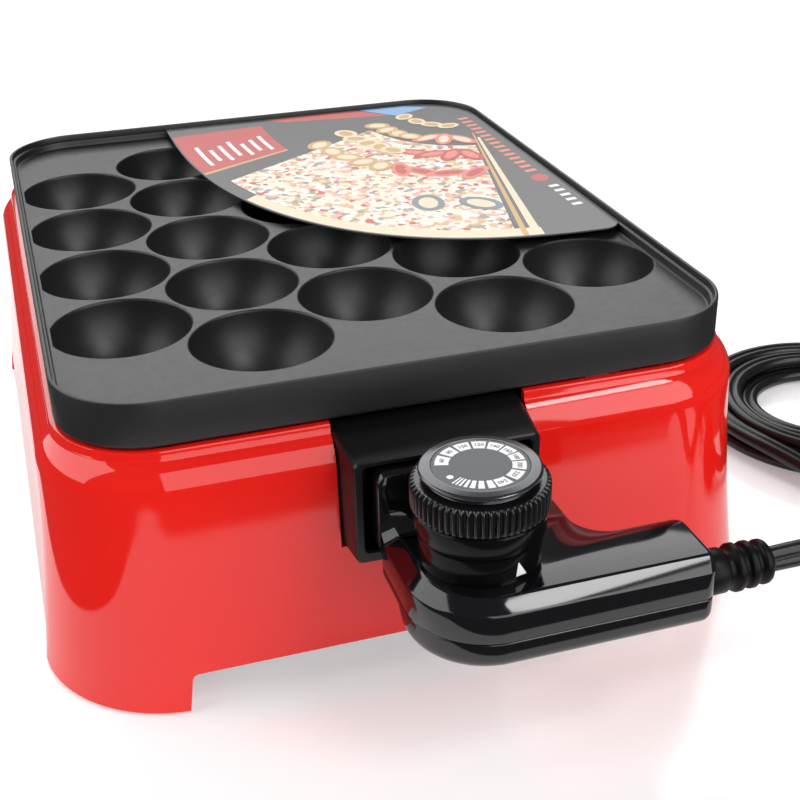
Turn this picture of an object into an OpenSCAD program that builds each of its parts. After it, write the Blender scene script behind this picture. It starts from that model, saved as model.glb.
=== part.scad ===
// Electric takoyaki maker: a cast plate with staggered half-ball cups on a pressed
// base, heated by a tubular element and fed by a pull-out thermostat controller.
// Millimetres, +Z up, -Y is the controller's side. The origin lies on the table, at the
// middle of the space that the cooker and its controller cover.

/* [Cups] */
// Diameter of one cup at the plate's surface
cup_d = 40; // [37:0.5:40]
// Distance between neighbouring columns of cups, along the plate's width
cup_pitch_x = 36.15; // [36.15:0.05:37]
// Distance between cups in one column, along the plate's length
cup_pitch_y = 42.15; // [42.15:0.05:43]
// Wall of the casting around each cup
cup_wall = 2; // [1.8:0.1:2.2]
// Width of the bevel on each cup's mouth
cup_bevel = 0.4; // [0.2:0.1:0.5]

/* [Cooking plate] */
// Height of the cooking surface above the table
surface_z = 84; // [82:0.5:90]
// Thickness of the plate between the cups
plate_t = 3; // [2.5:0.1:3.5]
// Plate left outside the outer cups, at each side
side_margin = 2.5; // [2.5:0.1:4]
// Plate left outside the outer cups, at the front and the back
end_margin = 17.2; // [16:0.1:19]
// Corner radius of the plate
plate_corner = 25; // [22:0.5:27]
// Height of the rim above the cooking surface
rim_h = 4.7; // [4:0.1:6]
// Depth of the skirt below the cooking surface
skirt_h = 8.5; // [7:0.1:10]
// Thickness of the skirt
skirt_t = 2.1; // [1.9:0.1:2.2]
// Height of the small ledge inside the rim
ledge_h = 2.4; // [2:0.1:3]
// Width of that ledge
ledge_w = 0.9; // [0.6:0.1:1]

/* [Base] */
// How far the base's shoulder stands out past the plate
base_overhang = 6.7; // [6:0.1:8]
// How far the walls flare out from the shoulder down to the floor
base_flare = 6; // [3:0.5:8]
// Wall thickness of the base
base_t = 2.4; // [2:0.1:3]
// Corner radius of the base at its shoulder
base_corner = 33; // [31:0.5:36]
// Radius of the rounded shoulder
shoulder_r = 11; // [9:0.5:12]
// Length of each foot along the front, from the base's side
foot_len = 37; // [33:0.5:42]
// Height of the gaps between the feet
foot_gap_h = 11.5; // [9:0.5:12]
// Diameter of a rubber foot pad
pad_d = 16; // [12:0.5:18]
// Thickness of a foot pad under its seat
pad_t = 3; // [2.5:0.1:4]
// Thickness of the bottom pan's sheet
pan_t = 1.2; // [0.8:0.1:1.5]
// Thickness of the heat reflector's sheet
reflector_t = 1; // [0.6:0.1:1.2]
// Inset of the four plate screws from the plate's sides
screw_inset = 19.8; // [18:0.1:21]
// Diameter of the plate screws
screw_d = 4; // [3.5:0.1:4.2]

/* [Element and socket] */
// Diameter of the tubular heating element
element_d = 7.2; // [6.5:0.1:7.4]
// Distance between the two terminal pins
pin_pitch = 24; // [22:0.5:26]
// Diameter of a terminal pin
pin_d = 5; // [4:0.1:5.2]
// Bore of the sleeve that the thermostat's probe slides into
probe_bore = 6.6; // [6.6:0.1:7]
// Width of the socket housing
socket_w = 50.6; // [49:0.1:54]
// Height of the socket housing
socket_h = 30.2; // [29.5:0.1:33]
// How far the socket stands out past the base's shoulder
socket_reach = 11; // [9:0.5:14]
// Side wall thickness of the socket housing
socket_t = 2.5; // [2:0.1:2.7]

/* [Controller] */
// Length of the controller's arm from the dial's axis to the cord end
arm_len = 54; // [50:0.5:62]
// Depth of the arm, front to back
arm_depth = 21; // [19:0.5:23]
// Thickness of the controller, top to bottom
case_h = 19.3; // [19:0.1:22]
// Height of the lower case, up to the split line
lower_h = 8.3; // [8:0.1:10]
// Wall thickness of the two cases
case_t = 2; // [1.6:0.1:2.2]
// Radius of the rounded corner under the dial
case_corner = 20.2; // [19.6:0.1:21]
// Width of the bevel along the top edges
bevel_w = 3.8; // [2:0.1:4]
// Depth of that bevel
bevel_h = 3; // [2:0.1:3.5]
// Width of the nose that enters the socket
nose_w = 40.4; // [38:0.1:41]
// How far the nose reaches into the socket
nose_in = 17; // [15:0.5:17]
// Distance from the socket's face to the dial's axis
dial_reach = 22.5; // [21.5:0.5:26]

/* [Dial] */
// Diameter over the dial's ribs
dial_d = 34.2; // [32:0.1:35]
// Height of the ribbed part of the dial
dial_h = 7; // [6:0.1:9]
// Number of ribs around the dial
dial_ribs = 60; // [40:2:72]
// Height of the fixed collar under the dial
collar_h = 14.6; // [13:0.1:16]
// Diameter of the dial's spindle
spindle_d = 6; // [5:0.1:6.4]

/* [Cord and card] */
// Width of the flat twin cord
cord_w = 7.2; // [6.6:0.1:7.4]
// Thickness of the flat twin cord
cord_t = 4.4; // [4:0.1:4.6]
// Thickness of the card on the plate
card_t = 0.5; // [0.4:0.1:0.8]

/* [Hidden] */
$fn = 96;
eps = 0.01;     // how far a cutter runs past the face it opens
seat = 0.05;    // play between a shaft and its seat in the same body
gap = 0.3;      // play between pieces that move past each other

// ---- cups and plate, all measured from the middle of the base
columns = 5;
short_column = 4;
long_column = 5;
cup_r = cup_d / 2;
function column_cups(c) = c % 2 == 0 ? short_column : long_column;
cup_places = [
    for (c = [0 : columns - 1])
        for (r = [0 : column_cups(c) - 1])
            [(c - (columns - 1) / 2) * cup_pitch_x,
             (r - (column_cups(c) - 1) / 2) * cup_pitch_y]
];
plate_x = (columns - 1) / 2 * cup_pitch_x + cup_r + side_margin;
plate_y = (long_column - 1) / 2 * cup_pitch_y + cup_r + end_margin;
rim_z = surface_z + rim_h;
ledge_z = surface_z + ledge_h;
skirt_z = surface_z - skirt_h;
under_z = surface_z - plate_t;
cup_bottom_z = surface_z - cup_r - cup_wall;
rim_t = skirt_t - ledge_w;
edge_r = 0.5;           // rounding of the rim's top edge
skirt_edge_r = 1.5;     // rounding of the skirt's lower edge

// ---- base shell
base_x = plate_x + base_overhang - 0.3;
base_y = plate_y + base_overhang - 0.7;
shoulder_z = skirt_z - 12;
core_x = base_x - base_corner;
core_y = base_y - base_corner;
shell_foot_z = 0.6;
lip_z = skirt_z - gap;
lip_w = 2.6;
floor_x = base_x + base_flare;
floor_y = base_y + base_flare;
function wall_out(z) =
    z >= shoulder_z ? 0 : base_flare * pow((shoulder_z - z) / (shoulder_z - shell_foot_z), 1.5);
foot_in_x = floor_x - foot_len;
foot_in_y = floor_y - foot_len;
foot_slant = 1.7;
pan_z = foot_gap_h + 1.5;
post_z = pan_z + pan_t;
reflector_z = cup_bottom_z - 11 - reflector_t;
reflector_wall_h = 6;
post_x = plate_x - screw_inset;
post_y = plate_y - screw_inset + 1.3;
post_d = 12;
plate_boss_d = 10;
plate_boss_z = cup_bottom_z + 4;
pan_boss_y = 45;
pan_boss_in = 9;
foot_plate_t = 2.4;
pad_stem_d = 5;
pad_x = floor_x - 21;
pad_y = floor_y - 21;

// ---- element, pins and socket
element_r = element_d / 2;
pin_z = cup_bottom_z - 0.8 - element_r;
element_xo = 1.5 * cup_pitch_x;
element_xi = 0.5 * cup_pitch_x;
element_turn = cup_pitch_x / 2;
element_back_y = 2 * cup_pitch_y;
element_mid_y = -1.05 * cup_pitch_y;
front_bend = 12;
cross_y = -plate_y + 21.5;
pin_x = pin_pitch / 2;
socket_face_y = -(base_y + socket_reach);
socket_back_y = socket_face_y + nose_in + 0.5;
socket_wall = 3;
pin_root_y = socket_back_y + socket_wall + 1;
pin_len = nose_in - 2;
socket_bottom_z = pin_z - 16.5;
socket_top_z = socket_bottom_z + socket_h;
socket_roof = 1.7;
socket_floor = 3.3;
socket_r = 2;
flange_y = 3;
flange_out = 1.9;
sleeve_out = 10;
sleeve_end_y = socket_back_y + 41;
sleeve_boss_y = socket_back_y + 22;

// ---- controller
dial_y = socket_face_y - dial_reach;
case_front_y = dial_y - case_corner - 2.3;
corner_y = case_front_y + case_corner;
case_back_y = case_front_y + arm_depth;
case_top_z = pin_z - 3.6;
split_z = case_top_z - (case_h - lower_h);
case_bottom_z = case_top_z - case_h;
neck_x = 27;
neck_back_y = socket_face_y - 3.5;
neck_bottom_z = split_z - 1.5;
neck_step_y = dial_y + 3.4;
arm_inner_r = 10;
end_r = 3;
nose_top_z = pin_z + 11;
nose_bottom_z = pin_z - 12.2;
nose_r = 3;
nose_tip_y = socket_face_y + nose_in;
ramp_r = 6;              // hollow where the neck's flat top turns up to the nose
arm_y = (case_front_y + case_back_y) / 2;
front_y = case_front_y;
collar_z = case_top_z;
dial_z = collar_z + collar_h + 0.4;
dial_r = dial_d / 2;
rim_top_z = dial_z + dial_h + 2;
spindle_r = spindle_d / 2;
spindle_foot_z = split_z + 0.5;
boot_wall = 2;
boot_tip_x = arm_len + 27;
screw_places = [
    [arm_len - 9, case_back_y - case_t - 2],
    [-0.75 * (case_corner - case_t), corner_y - 6.6],
    [20, case_front_y + case_t + 2.2]
];
case_screw_d = 2.4;
case_screw_len = 12;
case_screw_z = case_bottom_z + 2.2;
case_boss_d = 6;
frame_z = split_z + 3;
frame_t = 1.2;
frame_x = 9.6;

// ---- the middle of what the cooker and its controller cover becomes the origin
origin_y = (front_y + floor_y) / 2;

module place() {
    translate([0, -origin_y, 0]) children();
}

// ---- shapes used by several pieces

// Rounded rectangle by its half sizes and corner radius
module rounded(hx, hy, r) {
    square([2 * hx, 2 * (hy - r)], center = true);
    square([2 * (hx - r), 2 * hy], center = true);
    for (sx = [-1, 1])
        for (sy = [-1, 1])
            translate([sx * (hx - r), sy * (hy - r)]) circle(r);
}

// A section carried round a rounded rectangle: its X is the distance from the corner's axis
module carried_round(hx, hy) {
    for (c = [[1, 1, 0], [-1, 1, 90], [-1, -1, 180], [1, -1, 270]])
        translate([c[0] * hx, c[1] * hy, 0])
            rotate([0, 0, c[2]])
                rotate_extrude(angle = 90) children();
    for (turn = [0, 180])
        rotate([0, 0, turn]) {
            translate([hx, hy, 0]) rotate([90, 0, 0]) linear_extrude(2 * hy) children();
            translate([-hx, hy, 0]) rotate([90, 0, 90]) linear_extrude(2 * hx) children();
        }
}

// Points of an arc about c, from angle a0 to a1
function arc(c, r, a0, a1, n) =
    [for (i = [0 : n]) let (a = a0 + (a1 - a0) * i / n) [c[0] + r * cos(a), c[1] + r * sin(a)]];

// A rod along Y from y0 to y1
module rod_y(x, y0, y1, z, d) {
    translate([x, y0, z]) rotate([-90, 0, 0]) cylinder(h = y1 - y0, d = d);
}

// A rod along X from x0 to x1
module rod_x(x0, x1, y, z, d) {
    translate([x0, y, z]) rotate([0, 90, 0]) cylinder(h = x1 - x0, d = d);
}

module at_posts() {
    for (sx = [-1, 1])
        for (sy = [-1, 1])
            translate([sx * post_x, sy * post_y, 0]) children();
}

// ---- base shell: outer line from the floor up over the shoulder to the lip
outer_line = concat(
    [for (i = [0 : 7])
        let (z = shell_foot_z + (shoulder_z - shell_foot_z) * i / 8)
            [base_corner + wall_out(z), z]],
    arc([base_corner - shoulder_r, shoulder_z], shoulder_r, 0, 54, 9),
    [[base_corner - 4.7, lip_z - 2.4],
     [base_corner - 4.9, lip_z - 0.7],
     [base_corner - 5.5, lip_z]]
);
lip_in = base_corner - base_overhang - 0.4;
inner_line = concat(
    [[lip_in, lip_z], [lip_in, lip_z - lip_w]],
    [for (i = [0 : 5])
        let (a = 60 - 12 * i)
            [base_corner - shoulder_r + (shoulder_r - base_t) * cos(a),
             shoulder_z + (shoulder_r - base_t) * sin(a)]],
    [for (i = [7 : -1 : 0])
        let (z = shell_foot_z + (shoulder_z - shell_foot_z) * i / 8)
            [base_corner + wall_out(z) - base_t, z]]
);

// Gap between two feet, cut right through the shell along Y
module foot_gap(half_w) {
    rotate([90, 0, 0])
        linear_extrude(2 * (floor_x + floor_y), center = true)
            polygon([
                [-half_w - foot_slant, -1], [half_w + foot_slant, -1],
                [half_w, foot_gap_h], [-half_w, foot_gap_h]
            ]);
}

// Web that ties a screw post to the side wall
module post_web(x, y, reach_top, reach_bottom, z1) {
    translate([x, y + 1.2, 0])
        rotate([90, 0, 0])
            linear_extrude(2.4)
                polygon([[0, post_z + 0.5], [reach_bottom, post_z + 0.5], [reach_top, z1], [0, z1]]);
}

module base_shell() {
    color("firebrick") place()
    difference() {
        union() {
            carried_round(core_x, core_y) polygon(concat(outer_line, inner_line));
            at_posts() translate([0, 0, post_z]) cylinder(h = reflector_z - post_z, d = post_d);
            for (sx = [0, 1])
                for (sy = [0, 1])
                    mirror([sx, 0, 0]) mirror([0, sy, 0])
                        post_web(post_x, post_y,
                                 base_x + wall_out(reflector_z - 2) - post_x - base_t / 2,
                                 base_x + wall_out(post_z) - post_x - base_t / 2,
                                 reflector_z - 2);
            // seats of the foot pads, across each corner
            for (sx = [0, 1])
                for (sy = [0, 1])
                    mirror([sx, 0, 0]) mirror([0, sy, 0])
                        intersection() {
                            translate([core_x, core_y, pad_t])
                                cylinder(h = foot_plate_t, r = base_corner + base_flare - base_t / 2);
                            translate([foot_in_x + foot_slant, foot_in_y + foot_slant, 0])
                                cube([foot_len, foot_len, 10]);
                        }
            // bosses for the pan's own screws
            for (sx = [0, 1])
                for (y = [-pan_boss_y, pan_boss_y])
                    mirror([sx, 0, 0])
                        translate([base_x - base_t - pan_boss_in, y - 4, post_z])
                            cube([pan_boss_in + base_t + 1.5, 8, 12]);
        }
        foot_gap(foot_in_x);
        rotate([0, 0, 90]) foot_gap(foot_in_y);
        at_posts() translate([0, 0, -1]) cylinder(h = reflector_z + 2, r = screw_d / 2 + 0.2);
        for (sx = [-1, 1])
            for (y = [-pan_boss_y, pan_boss_y])
                translate([sx * (base_x - base_t - pan_boss_in + 4), y, post_z - eps])
                    cylinder(h = 9, r = 1.5);
        for (sx = [-1, 1])
            for (sy = [-1, 1])
                translate([sx * pad_x, sy * pad_y, 0]) cylinder(h = 10, d = pad_stem_d + 2 * seat);
        // window for the socket, open to the top
        translate([-socket_w / 2 - flange_out - gap / 2, -floor_y - 5, socket_bottom_z - gap / 2 - 1])
            cube([socket_w + 2 * flange_out + gap, 35, surface_z]);
    }
}

module foot_pads() {
    color("dimgray") place()
    for (sx = [-1, 1])
        for (sy = [-1, 1])
            translate([sx * pad_x, sy * pad_y, 0]) {
                rotate_extrude()
                    polygon([[0, 0], [pad_d / 2 - 1, 0], [pad_d / 2, 1], [pad_d / 2, pad_t], [0, pad_t]]);
                cylinder(h = pad_t + foot_plate_t + 1.5, d = pad_stem_d);
            }
}

module bottom_pan() {
    pan_inset = base_t + 1;
    color("gainsboro") place()
    difference() {
        translate([0, 0, pan_z])
            linear_extrude(pan_t)
                difference() {
                    rounded(base_x + wall_out(post_z) - pan_inset, base_y + wall_out(post_z) - pan_inset,
                            base_corner - 1);
                    for (sx = [-1, 1])
                        for (i = [-4 : 4])
                            translate([sx * 45, i * 16]) rounded(16, 2.5, 2.4);
                }
        at_posts() cylinder(h = 40, r = screw_d / 2 + 0.2);
        for (sx = [-1, 1])
            for (y = [-pan_boss_y, pan_boss_y])
                translate([sx * (base_x - base_t - pan_boss_in + 4), y, 0]) cylinder(h = 40, r = 1.7);
    }
}

// One pan-head screw standing on its head, with the head's underside at z = 0
module screw(d, head_d, head_h, len) {
    translate([0, 0, -head_h]) cylinder(h = head_h, d = head_d);
    cylinder(h = len, d = d);
}

module pan_screws() {
    color("silver") place()
    for (sx = [-1, 1])
        for (y = [-pan_boss_y, pan_boss_y])
            translate([sx * (base_x - base_t - pan_boss_in + 4), y, pan_z]) screw(2.9, 6, 1.8, 9);
}

module heat_reflector() {
    tray_x = post_x + 13;
    tray_y = post_y + 10;
    tray_r = 18;
    color("lightgray") place()
    difference() {
        translate([0, 0, reflector_z])
            linear_extrude(reflector_t + reflector_wall_h) rounded(tray_x, tray_y, tray_r);
        translate([0, 0, reflector_z + reflector_t])
            linear_extrude(reflector_wall_h + 1)
                rounded(tray_x - reflector_t, tray_y - reflector_t, tray_r - reflector_t);
        at_posts() cylinder(h = reflector_z + 5, r = screw_d / 2 + 0.2);
        // clear of the element's cold ends and the probe's sleeve
        translate([-pin_x - 8, -tray_y - 5, reflector_z + reflector_t]) cube([2 * pin_x + 16, 20, 20]);
    }
}

module plate_spacers() {
    foot_z = reflector_z + reflector_t;
    color("silver") place()
    at_posts() difference() {
        translate([0, 0, foot_z]) cylinder(h = plate_boss_z - foot_z, d = 8);
        translate([0, 0, foot_z - 1]) cylinder(h = 60, r = screw_d / 2 + 0.2);
    }
}

module plate_screws() {
    color("silver") place()
    at_posts() translate([0, 0, pan_z]) screw(screw_d, 8, 2.6, plate_boss_z + 12 - pan_z);
}

// ---- cooking plate: rim and skirt in one section, then floor, cups and bosses
rim_section = concat(
    arc([plate_corner - skirt_edge_r, skirt_z + skirt_edge_r], skirt_edge_r, -90, 0, 5),
    arc([plate_corner - edge_r, rim_z - edge_r], edge_r, 0, 90, 4),
    arc([plate_corner - rim_t + edge_r - 0.1, rim_z - edge_r + 0.1], edge_r - 0.1, 90, 180, 3),
    [[plate_corner - rim_t, ledge_z], [plate_corner - skirt_t, ledge_z - 0.2],
     [plate_corner - skirt_t, skirt_z]]
);

module cup_bodies() {
    for (p = cup_places)
        translate([p[0], p[1], surface_z])
            intersection() {
                sphere(r = cup_r + cup_wall);
                translate([0, 0, -cup_d]) cylinder(h = cup_d - plate_t / 2, r = cup_d);
            }
}

module cooking_plate() {
    color([0.2, 0.2, 0.21]) place()
    difference() {
        union() {
            carried_round(plate_x - plate_corner, plate_y - plate_corner) polygon(rim_section);
            translate([0, 0, under_z])
                linear_extrude(plate_t)
                    rounded(plate_x - skirt_t / 2, plate_y - skirt_t / 2, plate_corner - skirt_t / 2);
            cup_bodies();
            at_posts() translate([0, 0, plate_boss_z])
                cylinder(h = surface_z - 1 - plate_boss_z, d = plate_boss_d);
            translate([-sleeve_out / 2, sleeve_boss_y, pin_z + sleeve_out / 2])
                cube([sleeve_out, 10, surface_z - 1 - pin_z - sleeve_out / 2]);
        }
        for (p = cup_places)
            translate([p[0], p[1], surface_z]) {
                sphere(r = cup_r);
                translate([0, 0, -cup_bevel])
                    cylinder(h = 2 * cup_bevel, r1 = cup_r - eps, r2 = cup_r + 2 * cup_bevel);
            }
        at_posts() translate([0, 0, plate_boss_z - 1]) cylinder(h = 14, d = screw_d + 2 * seat);
    }
}

// ---- heating element: an M-shaped tube under the cups, ending in two cold ends

module element_bend(x, y, r, a0, sweep) {
    translate([x, y, pin_z])
        rotate([0, 0, a0])
            rotate_extrude(angle = sweep) translate([r, 0]) circle(element_r);
}

module heating_element() {
    outer_front_y = cross_y + front_bend;
    color([0.35, 0.33, 0.3]) place()
    for (side = [0, 1]) mirror([side, 0, 0]) {
        rod_y(element_xo, outer_front_y, element_back_y, pin_z, element_d);
        element_bend(element_xo - element_turn, element_back_y, element_turn, 0, 180);
        rod_y(element_xi, element_mid_y, element_back_y, pin_z, element_d);
        element_bend(0, element_mid_y, element_xi, 270, 90);
        element_bend(element_xo - front_bend, outer_front_y, front_bend, 270, 90);
        rod_x(pin_x + front_bend, element_xo - front_bend, cross_y, pin_z, element_d);
        element_bend(pin_x + front_bend, cross_y - front_bend, front_bend, 90, 90);
        rod_y(pin_x, pin_root_y, cross_y - front_bend, pin_z, element_d);
    }
}

module element_supports() {
    foot_z = reflector_z + reflector_t;
    color("silver") place()
    for (x = [-element_xo, -element_xi, element_xi, element_xo])
        for (y = [-0.9 * cup_pitch_y, 1.1 * cup_pitch_y])
            difference() {
                union() {
                    translate([x - 7, y - 5, foot_z]) cube([14, 10, 1]);
                    translate([x - 5, y - 1.5, foot_z]) cube([10, 3, pin_z - foot_z - 1]);
                }
                rod_y(x, y - 10, y + 10, pin_z, element_d + 2 * seat);
            }
}

module terminal_pins() {
    color("gainsboro") place()
    for (sx = [-1, 1]) {
        rod_y(sx * pin_x, pin_root_y - 4 - pin_len, pin_root_y, pin_z, pin_d);
        translate([sx * pin_x, pin_root_y - 4 - pin_len, pin_z]) sphere(d = pin_d);
    }
}

// Square block with a blind round bore for the probe, under the plate's boss
module probe_sleeve() {
    color("silver") place()
    difference() {
        translate([-sleeve_out / 2, pin_root_y, pin_z - sleeve_out / 2])
            cube([sleeve_out, sleeve_end_y - pin_root_y, sleeve_out]);
        rod_y(0, pin_root_y - 1, sleeve_end_y - 2, pin_z, probe_bore);
    }
}

// ---- socket housing: a box open to the front, with a flange behind the base's wall

module socket_slab(hx, z0, z1, y) {
    translate([0, y, 0])
        rotate([90, 0, 0])
            linear_extrude(0.4)
                translate([0, (z0 + z1) / 2]) rounded(hx, (z1 - z0) / 2, socket_r, $fn = 32);
}

module socket_housing() {
    inner_x = socket_w / 2 - socket_t;
    inner_z0 = socket_bottom_z + socket_floor;
    inner_z1 = socket_top_z - socket_roof;
    back_y = socket_back_y + socket_wall;
    color([0.1, 0.1, 0.1]) place()
    difference() {
        union() {
            hull() {
                socket_slab(socket_w / 2, socket_bottom_z, socket_top_z, socket_face_y + 0.4);
                socket_slab(socket_w / 2 + flange_out - gap, socket_bottom_z - 0.6, socket_top_z + 2.2,
                            back_y);
            }
            translate([0, back_y, 0])
                rotate([90, 0, 0])
                    linear_extrude(flange_y - 0.6)
                        translate([0, (socket_bottom_z + socket_top_z) / 2])
                            rounded(socket_w / 2 + 6, socket_h / 2 + 3, 3);
        }
        translate([0, socket_back_y, 0])
            rotate([90, 0, 0])
                linear_extrude(40)
                    translate([0, (inner_z0 + inner_z1) / 2])
                        rounded(inner_x, (inner_z1 - inner_z0) / 2, 1.5);
        for (x = [-pin_x, pin_x]) rod_y(x, socket_face_y, back_y + 1, pin_z, pin_d + 2 * seat);
        rod_y(0, socket_face_y, back_y + 1, pin_z, probe_bore);
    }
}

// ---- controller: one outline for both cases, drawn in by an inset

module case_outline(inset = 0) {
    translate([0, corner_y]) circle(case_corner - inset);
    translate([arm_len / 2, arm_y])
        rounded(arm_len / 2 - inset, arm_depth / 2 - inset, end_r - inset / 2);
    translate([0, case_front_y + inset]) square([20, arm_depth - 2 * inset]);
    neck_w = neck_x + case_corner;
    neck_l = neck_back_y - corner_y;
    translate([(neck_x - case_corner) / 2, corner_y + neck_l / 2 - 5])
        rounded(neck_w / 2 - inset, neck_l / 2 + 5 - inset, end_r - inset / 2);
    fillet = arm_inner_r + inset;
    difference() {
        translate([neck_x - inset - 1, case_back_y - inset - 1]) square(arm_inner_r + inset + 1);
        translate([neck_x - inset + fillet, case_back_y - inset + fillet]) circle(fillet);
    }
}

// What the bevel takes off the top edges: front, round corner and left side
module top_bevel() {
    section = [[0.01, 0.01], [-bevel_w, 0.01], [0.01, -bevel_h]];
    translate([0, case_front_y, case_top_z])
        rotate([90, 0, 90])
            linear_extrude(arm_len + 1) mirror([1, 0]) polygon(section);
    translate([-case_corner, neck_back_y + 5, case_top_z])
        rotate([90, 0, 0])
            linear_extrude(neck_back_y + 5 - corner_y) mirror([1, 0]) polygon(section);
    translate([0, corner_y, case_top_z])
        rotate([0, 0, 180])
            rotate_extrude(angle = 90) translate([case_corner, 0]) polygon(section);
}

// Outer line of the collar, which also stands in a recess of the ramp
collar_side = [[14.9, 0], [15.5, 7.8], [15.2, 8.2], [16.1, 8.6]];

module collar_recess() {
    translate([0, dial_y, collar_z])
        rotate_extrude()
            polygon([
                [0, 0], [collar_side[0][0] + 0.2, 0], [collar_side[1][0] + 0.2, 7.4],
                [collar_side[3][0] + 0.2, 8.2], [16.9, collar_h - 0.6], [16.9, 30], [0, 30]
            ]);
}

module nose_section(inset = 0) {
    translate([0, (nose_top_z + nose_bottom_z) / 2])
        rounded(nose_w / 2 - inset, (nose_top_z - nose_bottom_z) / 2 - inset, nose_r - inset);
}

// Neck that turns up from the case's flat top to the nose's steep face in a hollow
module nose_ramp() {
    start_y = neck_back_y - ramp_r - 0.6;
    intersection() {
        translate([-case_corner, 0, 0])
            rotate([90, 0, 90])
                linear_extrude(2 * case_corner)
                    polygon(concat(
                        [[nose_tip_y - 14, split_z], [start_y - 1, split_z], [start_y - 1, case_top_z]],
                        arc([start_y, case_top_z + ramp_r], ramp_r, 270, 350, 8),
                        [[neck_back_y - 0.2, nose_top_z], [nose_tip_y - 14, nose_top_z]]
                    ));
        union() {
            translate([0, neck_back_y + 1, 0])
                rotate([90, 0, 0]) linear_extrude(30) nose_section(0.2);
            translate([-nose_w / 2, neck_back_y - 30, split_z])
                cube([nose_w, 30 + 1, nose_bottom_z + 6 - split_z]);
        }
    }
}

module controller_upper_case() {
    color([0.08, 0.08, 0.09]) place()
    difference() {
        union() {
            difference() {
                translate([0, 0, split_z]) linear_extrude(case_top_z - split_z) case_outline();
                top_bevel();
            }
            nose_ramp();
            translate([0, nose_tip_y, 0])
                rotate([90, 0, 0]) linear_extrude(nose_tip_y - neck_back_y) nose_section();
        }
        difference() {
            translate([0, 0, split_z - 1])
                linear_extrude(case_top_z - case_t - split_z + 1 - bevel_h / 2) case_outline(case_t);
            for (p = screw_places)
                translate([p[0], p[1], 0]) cylinder(h = 80, d = case_boss_d);
        }
        for (p = screw_places)
            translate([p[0], p[1], case_screw_z])
                cylinder(h = case_screw_len + gap, r = case_screw_d / 2 + seat);
        for (x = [-pin_x, pin_x]) rod_y(x, neck_back_y + 0.5, nose_tip_y + 1, pin_z, 8);
        rod_y(0, neck_back_y + 0.5, nose_tip_y + 1, pin_z, 6 + 2 * seat);
        translate([0, dial_y, split_z]) cylinder(h = 30, r = spindle_r + 1);
        collar_recess();
        rod_x(arm_len - boot_wall - 1, arm_len + 1, arm_y, split_z, 11);
    }
}

// Space under the neck: the underside steps up on a slope
module under_neck(lift) {
    rise = neck_bottom_z - case_bottom_z;
    translate([-30, neck_step_y, case_bottom_z + lift])
        rotate([90, 0, 90])
            linear_extrude(30 + arm_len + 1)
                polygon([[-7.6 - eps, -1], [-7.6, 0], [0, rise], [60, rise], [60, -1]]);
}

module controller_lower_case() {
    color([0.08, 0.08, 0.09]) place()
    difference() {
        translate([0, 0, case_bottom_z]) linear_extrude(lower_h) case_outline();
        difference() {
            translate([0, 0, case_bottom_z + case_t]) linear_extrude(lower_h) case_outline(case_t);
            for (p = screw_places)
                translate([p[0], p[1], 0]) cylinder(h = 80, d = case_boss_d);
            under_neck(case_t + 0.4);
        }
        for (p = screw_places)
            translate([p[0], p[1], case_bottom_z - 1]) {
                cylinder(h = 30, r = case_screw_d / 2 + 0.2);
                cylinder(h = case_screw_z - case_bottom_z + 1, d = 5);
            }
        under_neck(0);
        rod_x(arm_len - boot_wall - 1, arm_len + 1, arm_y, split_z, 11);
    }
}

module case_screws() {
    color("silver") place()
    for (p = screw_places)
        translate([p[0], p[1], case_screw_z]) screw(case_screw_d, 4.6, 1.6, case_screw_len);
}

// ---- dial: fixed collar with its pointer, then the knob, disc and trim that turn

module dial_collar() {
    color([0.07, 0.07, 0.07]) place()
    translate([0, dial_y, collar_z])
        rotate_extrude()
            polygon(concat(
                [[spindle_r + 1, 0]],
                collar_side,
                [[16.7, collar_h - 0.6], [16.1, collar_h], [spindle_r + 1, collar_h]]
            ));
}

module dial_pointer() {
    color("white") place()
    translate([0, dial_y, collar_z])
        rotate([0, 0, -71])
            intersection() {
                difference() {
                    cylinder(h = 7, r1 = 15.5, r2 = 16);
                    translate([0, 0, -eps]) cylinder(h = 8, r1 = 14.95, r2 = 15.52);
                }
                translate([0, 0, 1])
                    rotate([90, 0, 90])
                        linear_extrude(20) polygon([[-2.4, 0], [2.4, 0], [-0.8, 5.6]]);
            }
}

rib_step = 360 / dial_ribs;
dial_outline = [
    for (i = [0 : dial_ribs - 1])
        for (p = [[-0.3, -0.7], [-0.22, 0], [0.22, 0], [0.3, -0.7]])
            let (a = (i + p[0]) * rib_step, r = dial_r + p[1]) [r * cos(a), r * sin(a)]
];

module dial_knob() {
    color([0.1, 0.1, 0.1]) place()
    translate([0, dial_y, dial_z])
        difference() {
            union() {
                linear_extrude(dial_h) polygon(dial_outline);
                translate([0, 0, dial_h]) cylinder(h = 0.8, r = 13);
            }
            translate([0, 0, -1]) cylinder(h = dial_h - 1, r = spindle_r + seat);
        }
}

module dial_rim() {
    color("silver") place()
    translate([0, dial_y, dial_z + dial_h])
        rotate_extrude()
            polygon([
                [13.05, 0], [dial_r - 0.6, 0], [dial_r - 0.5, 0.8],
                [dial_r - 1, 1.4], [13.4, 2], [13.05, 1.6]
            ]);
}

module dial_disc() {
    color([0.3, 0.31, 0.33]) place()
    translate([0, dial_y, dial_z + dial_h + 0.8]) cylinder(h = 0.6, r = 13);
}

module dial_spindle() {
    color("silver") place()
    translate([0, dial_y, 0]) {
        translate([0, 0, spindle_foot_z])
            cylinder(h = dial_z + dial_h - 3 - spindle_foot_z, r = spindle_r);
        translate([0, 0, frame_z - 1.6]) cylinder(h = 1.2, r = spindle_r + 1.5);
    }
}

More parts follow.
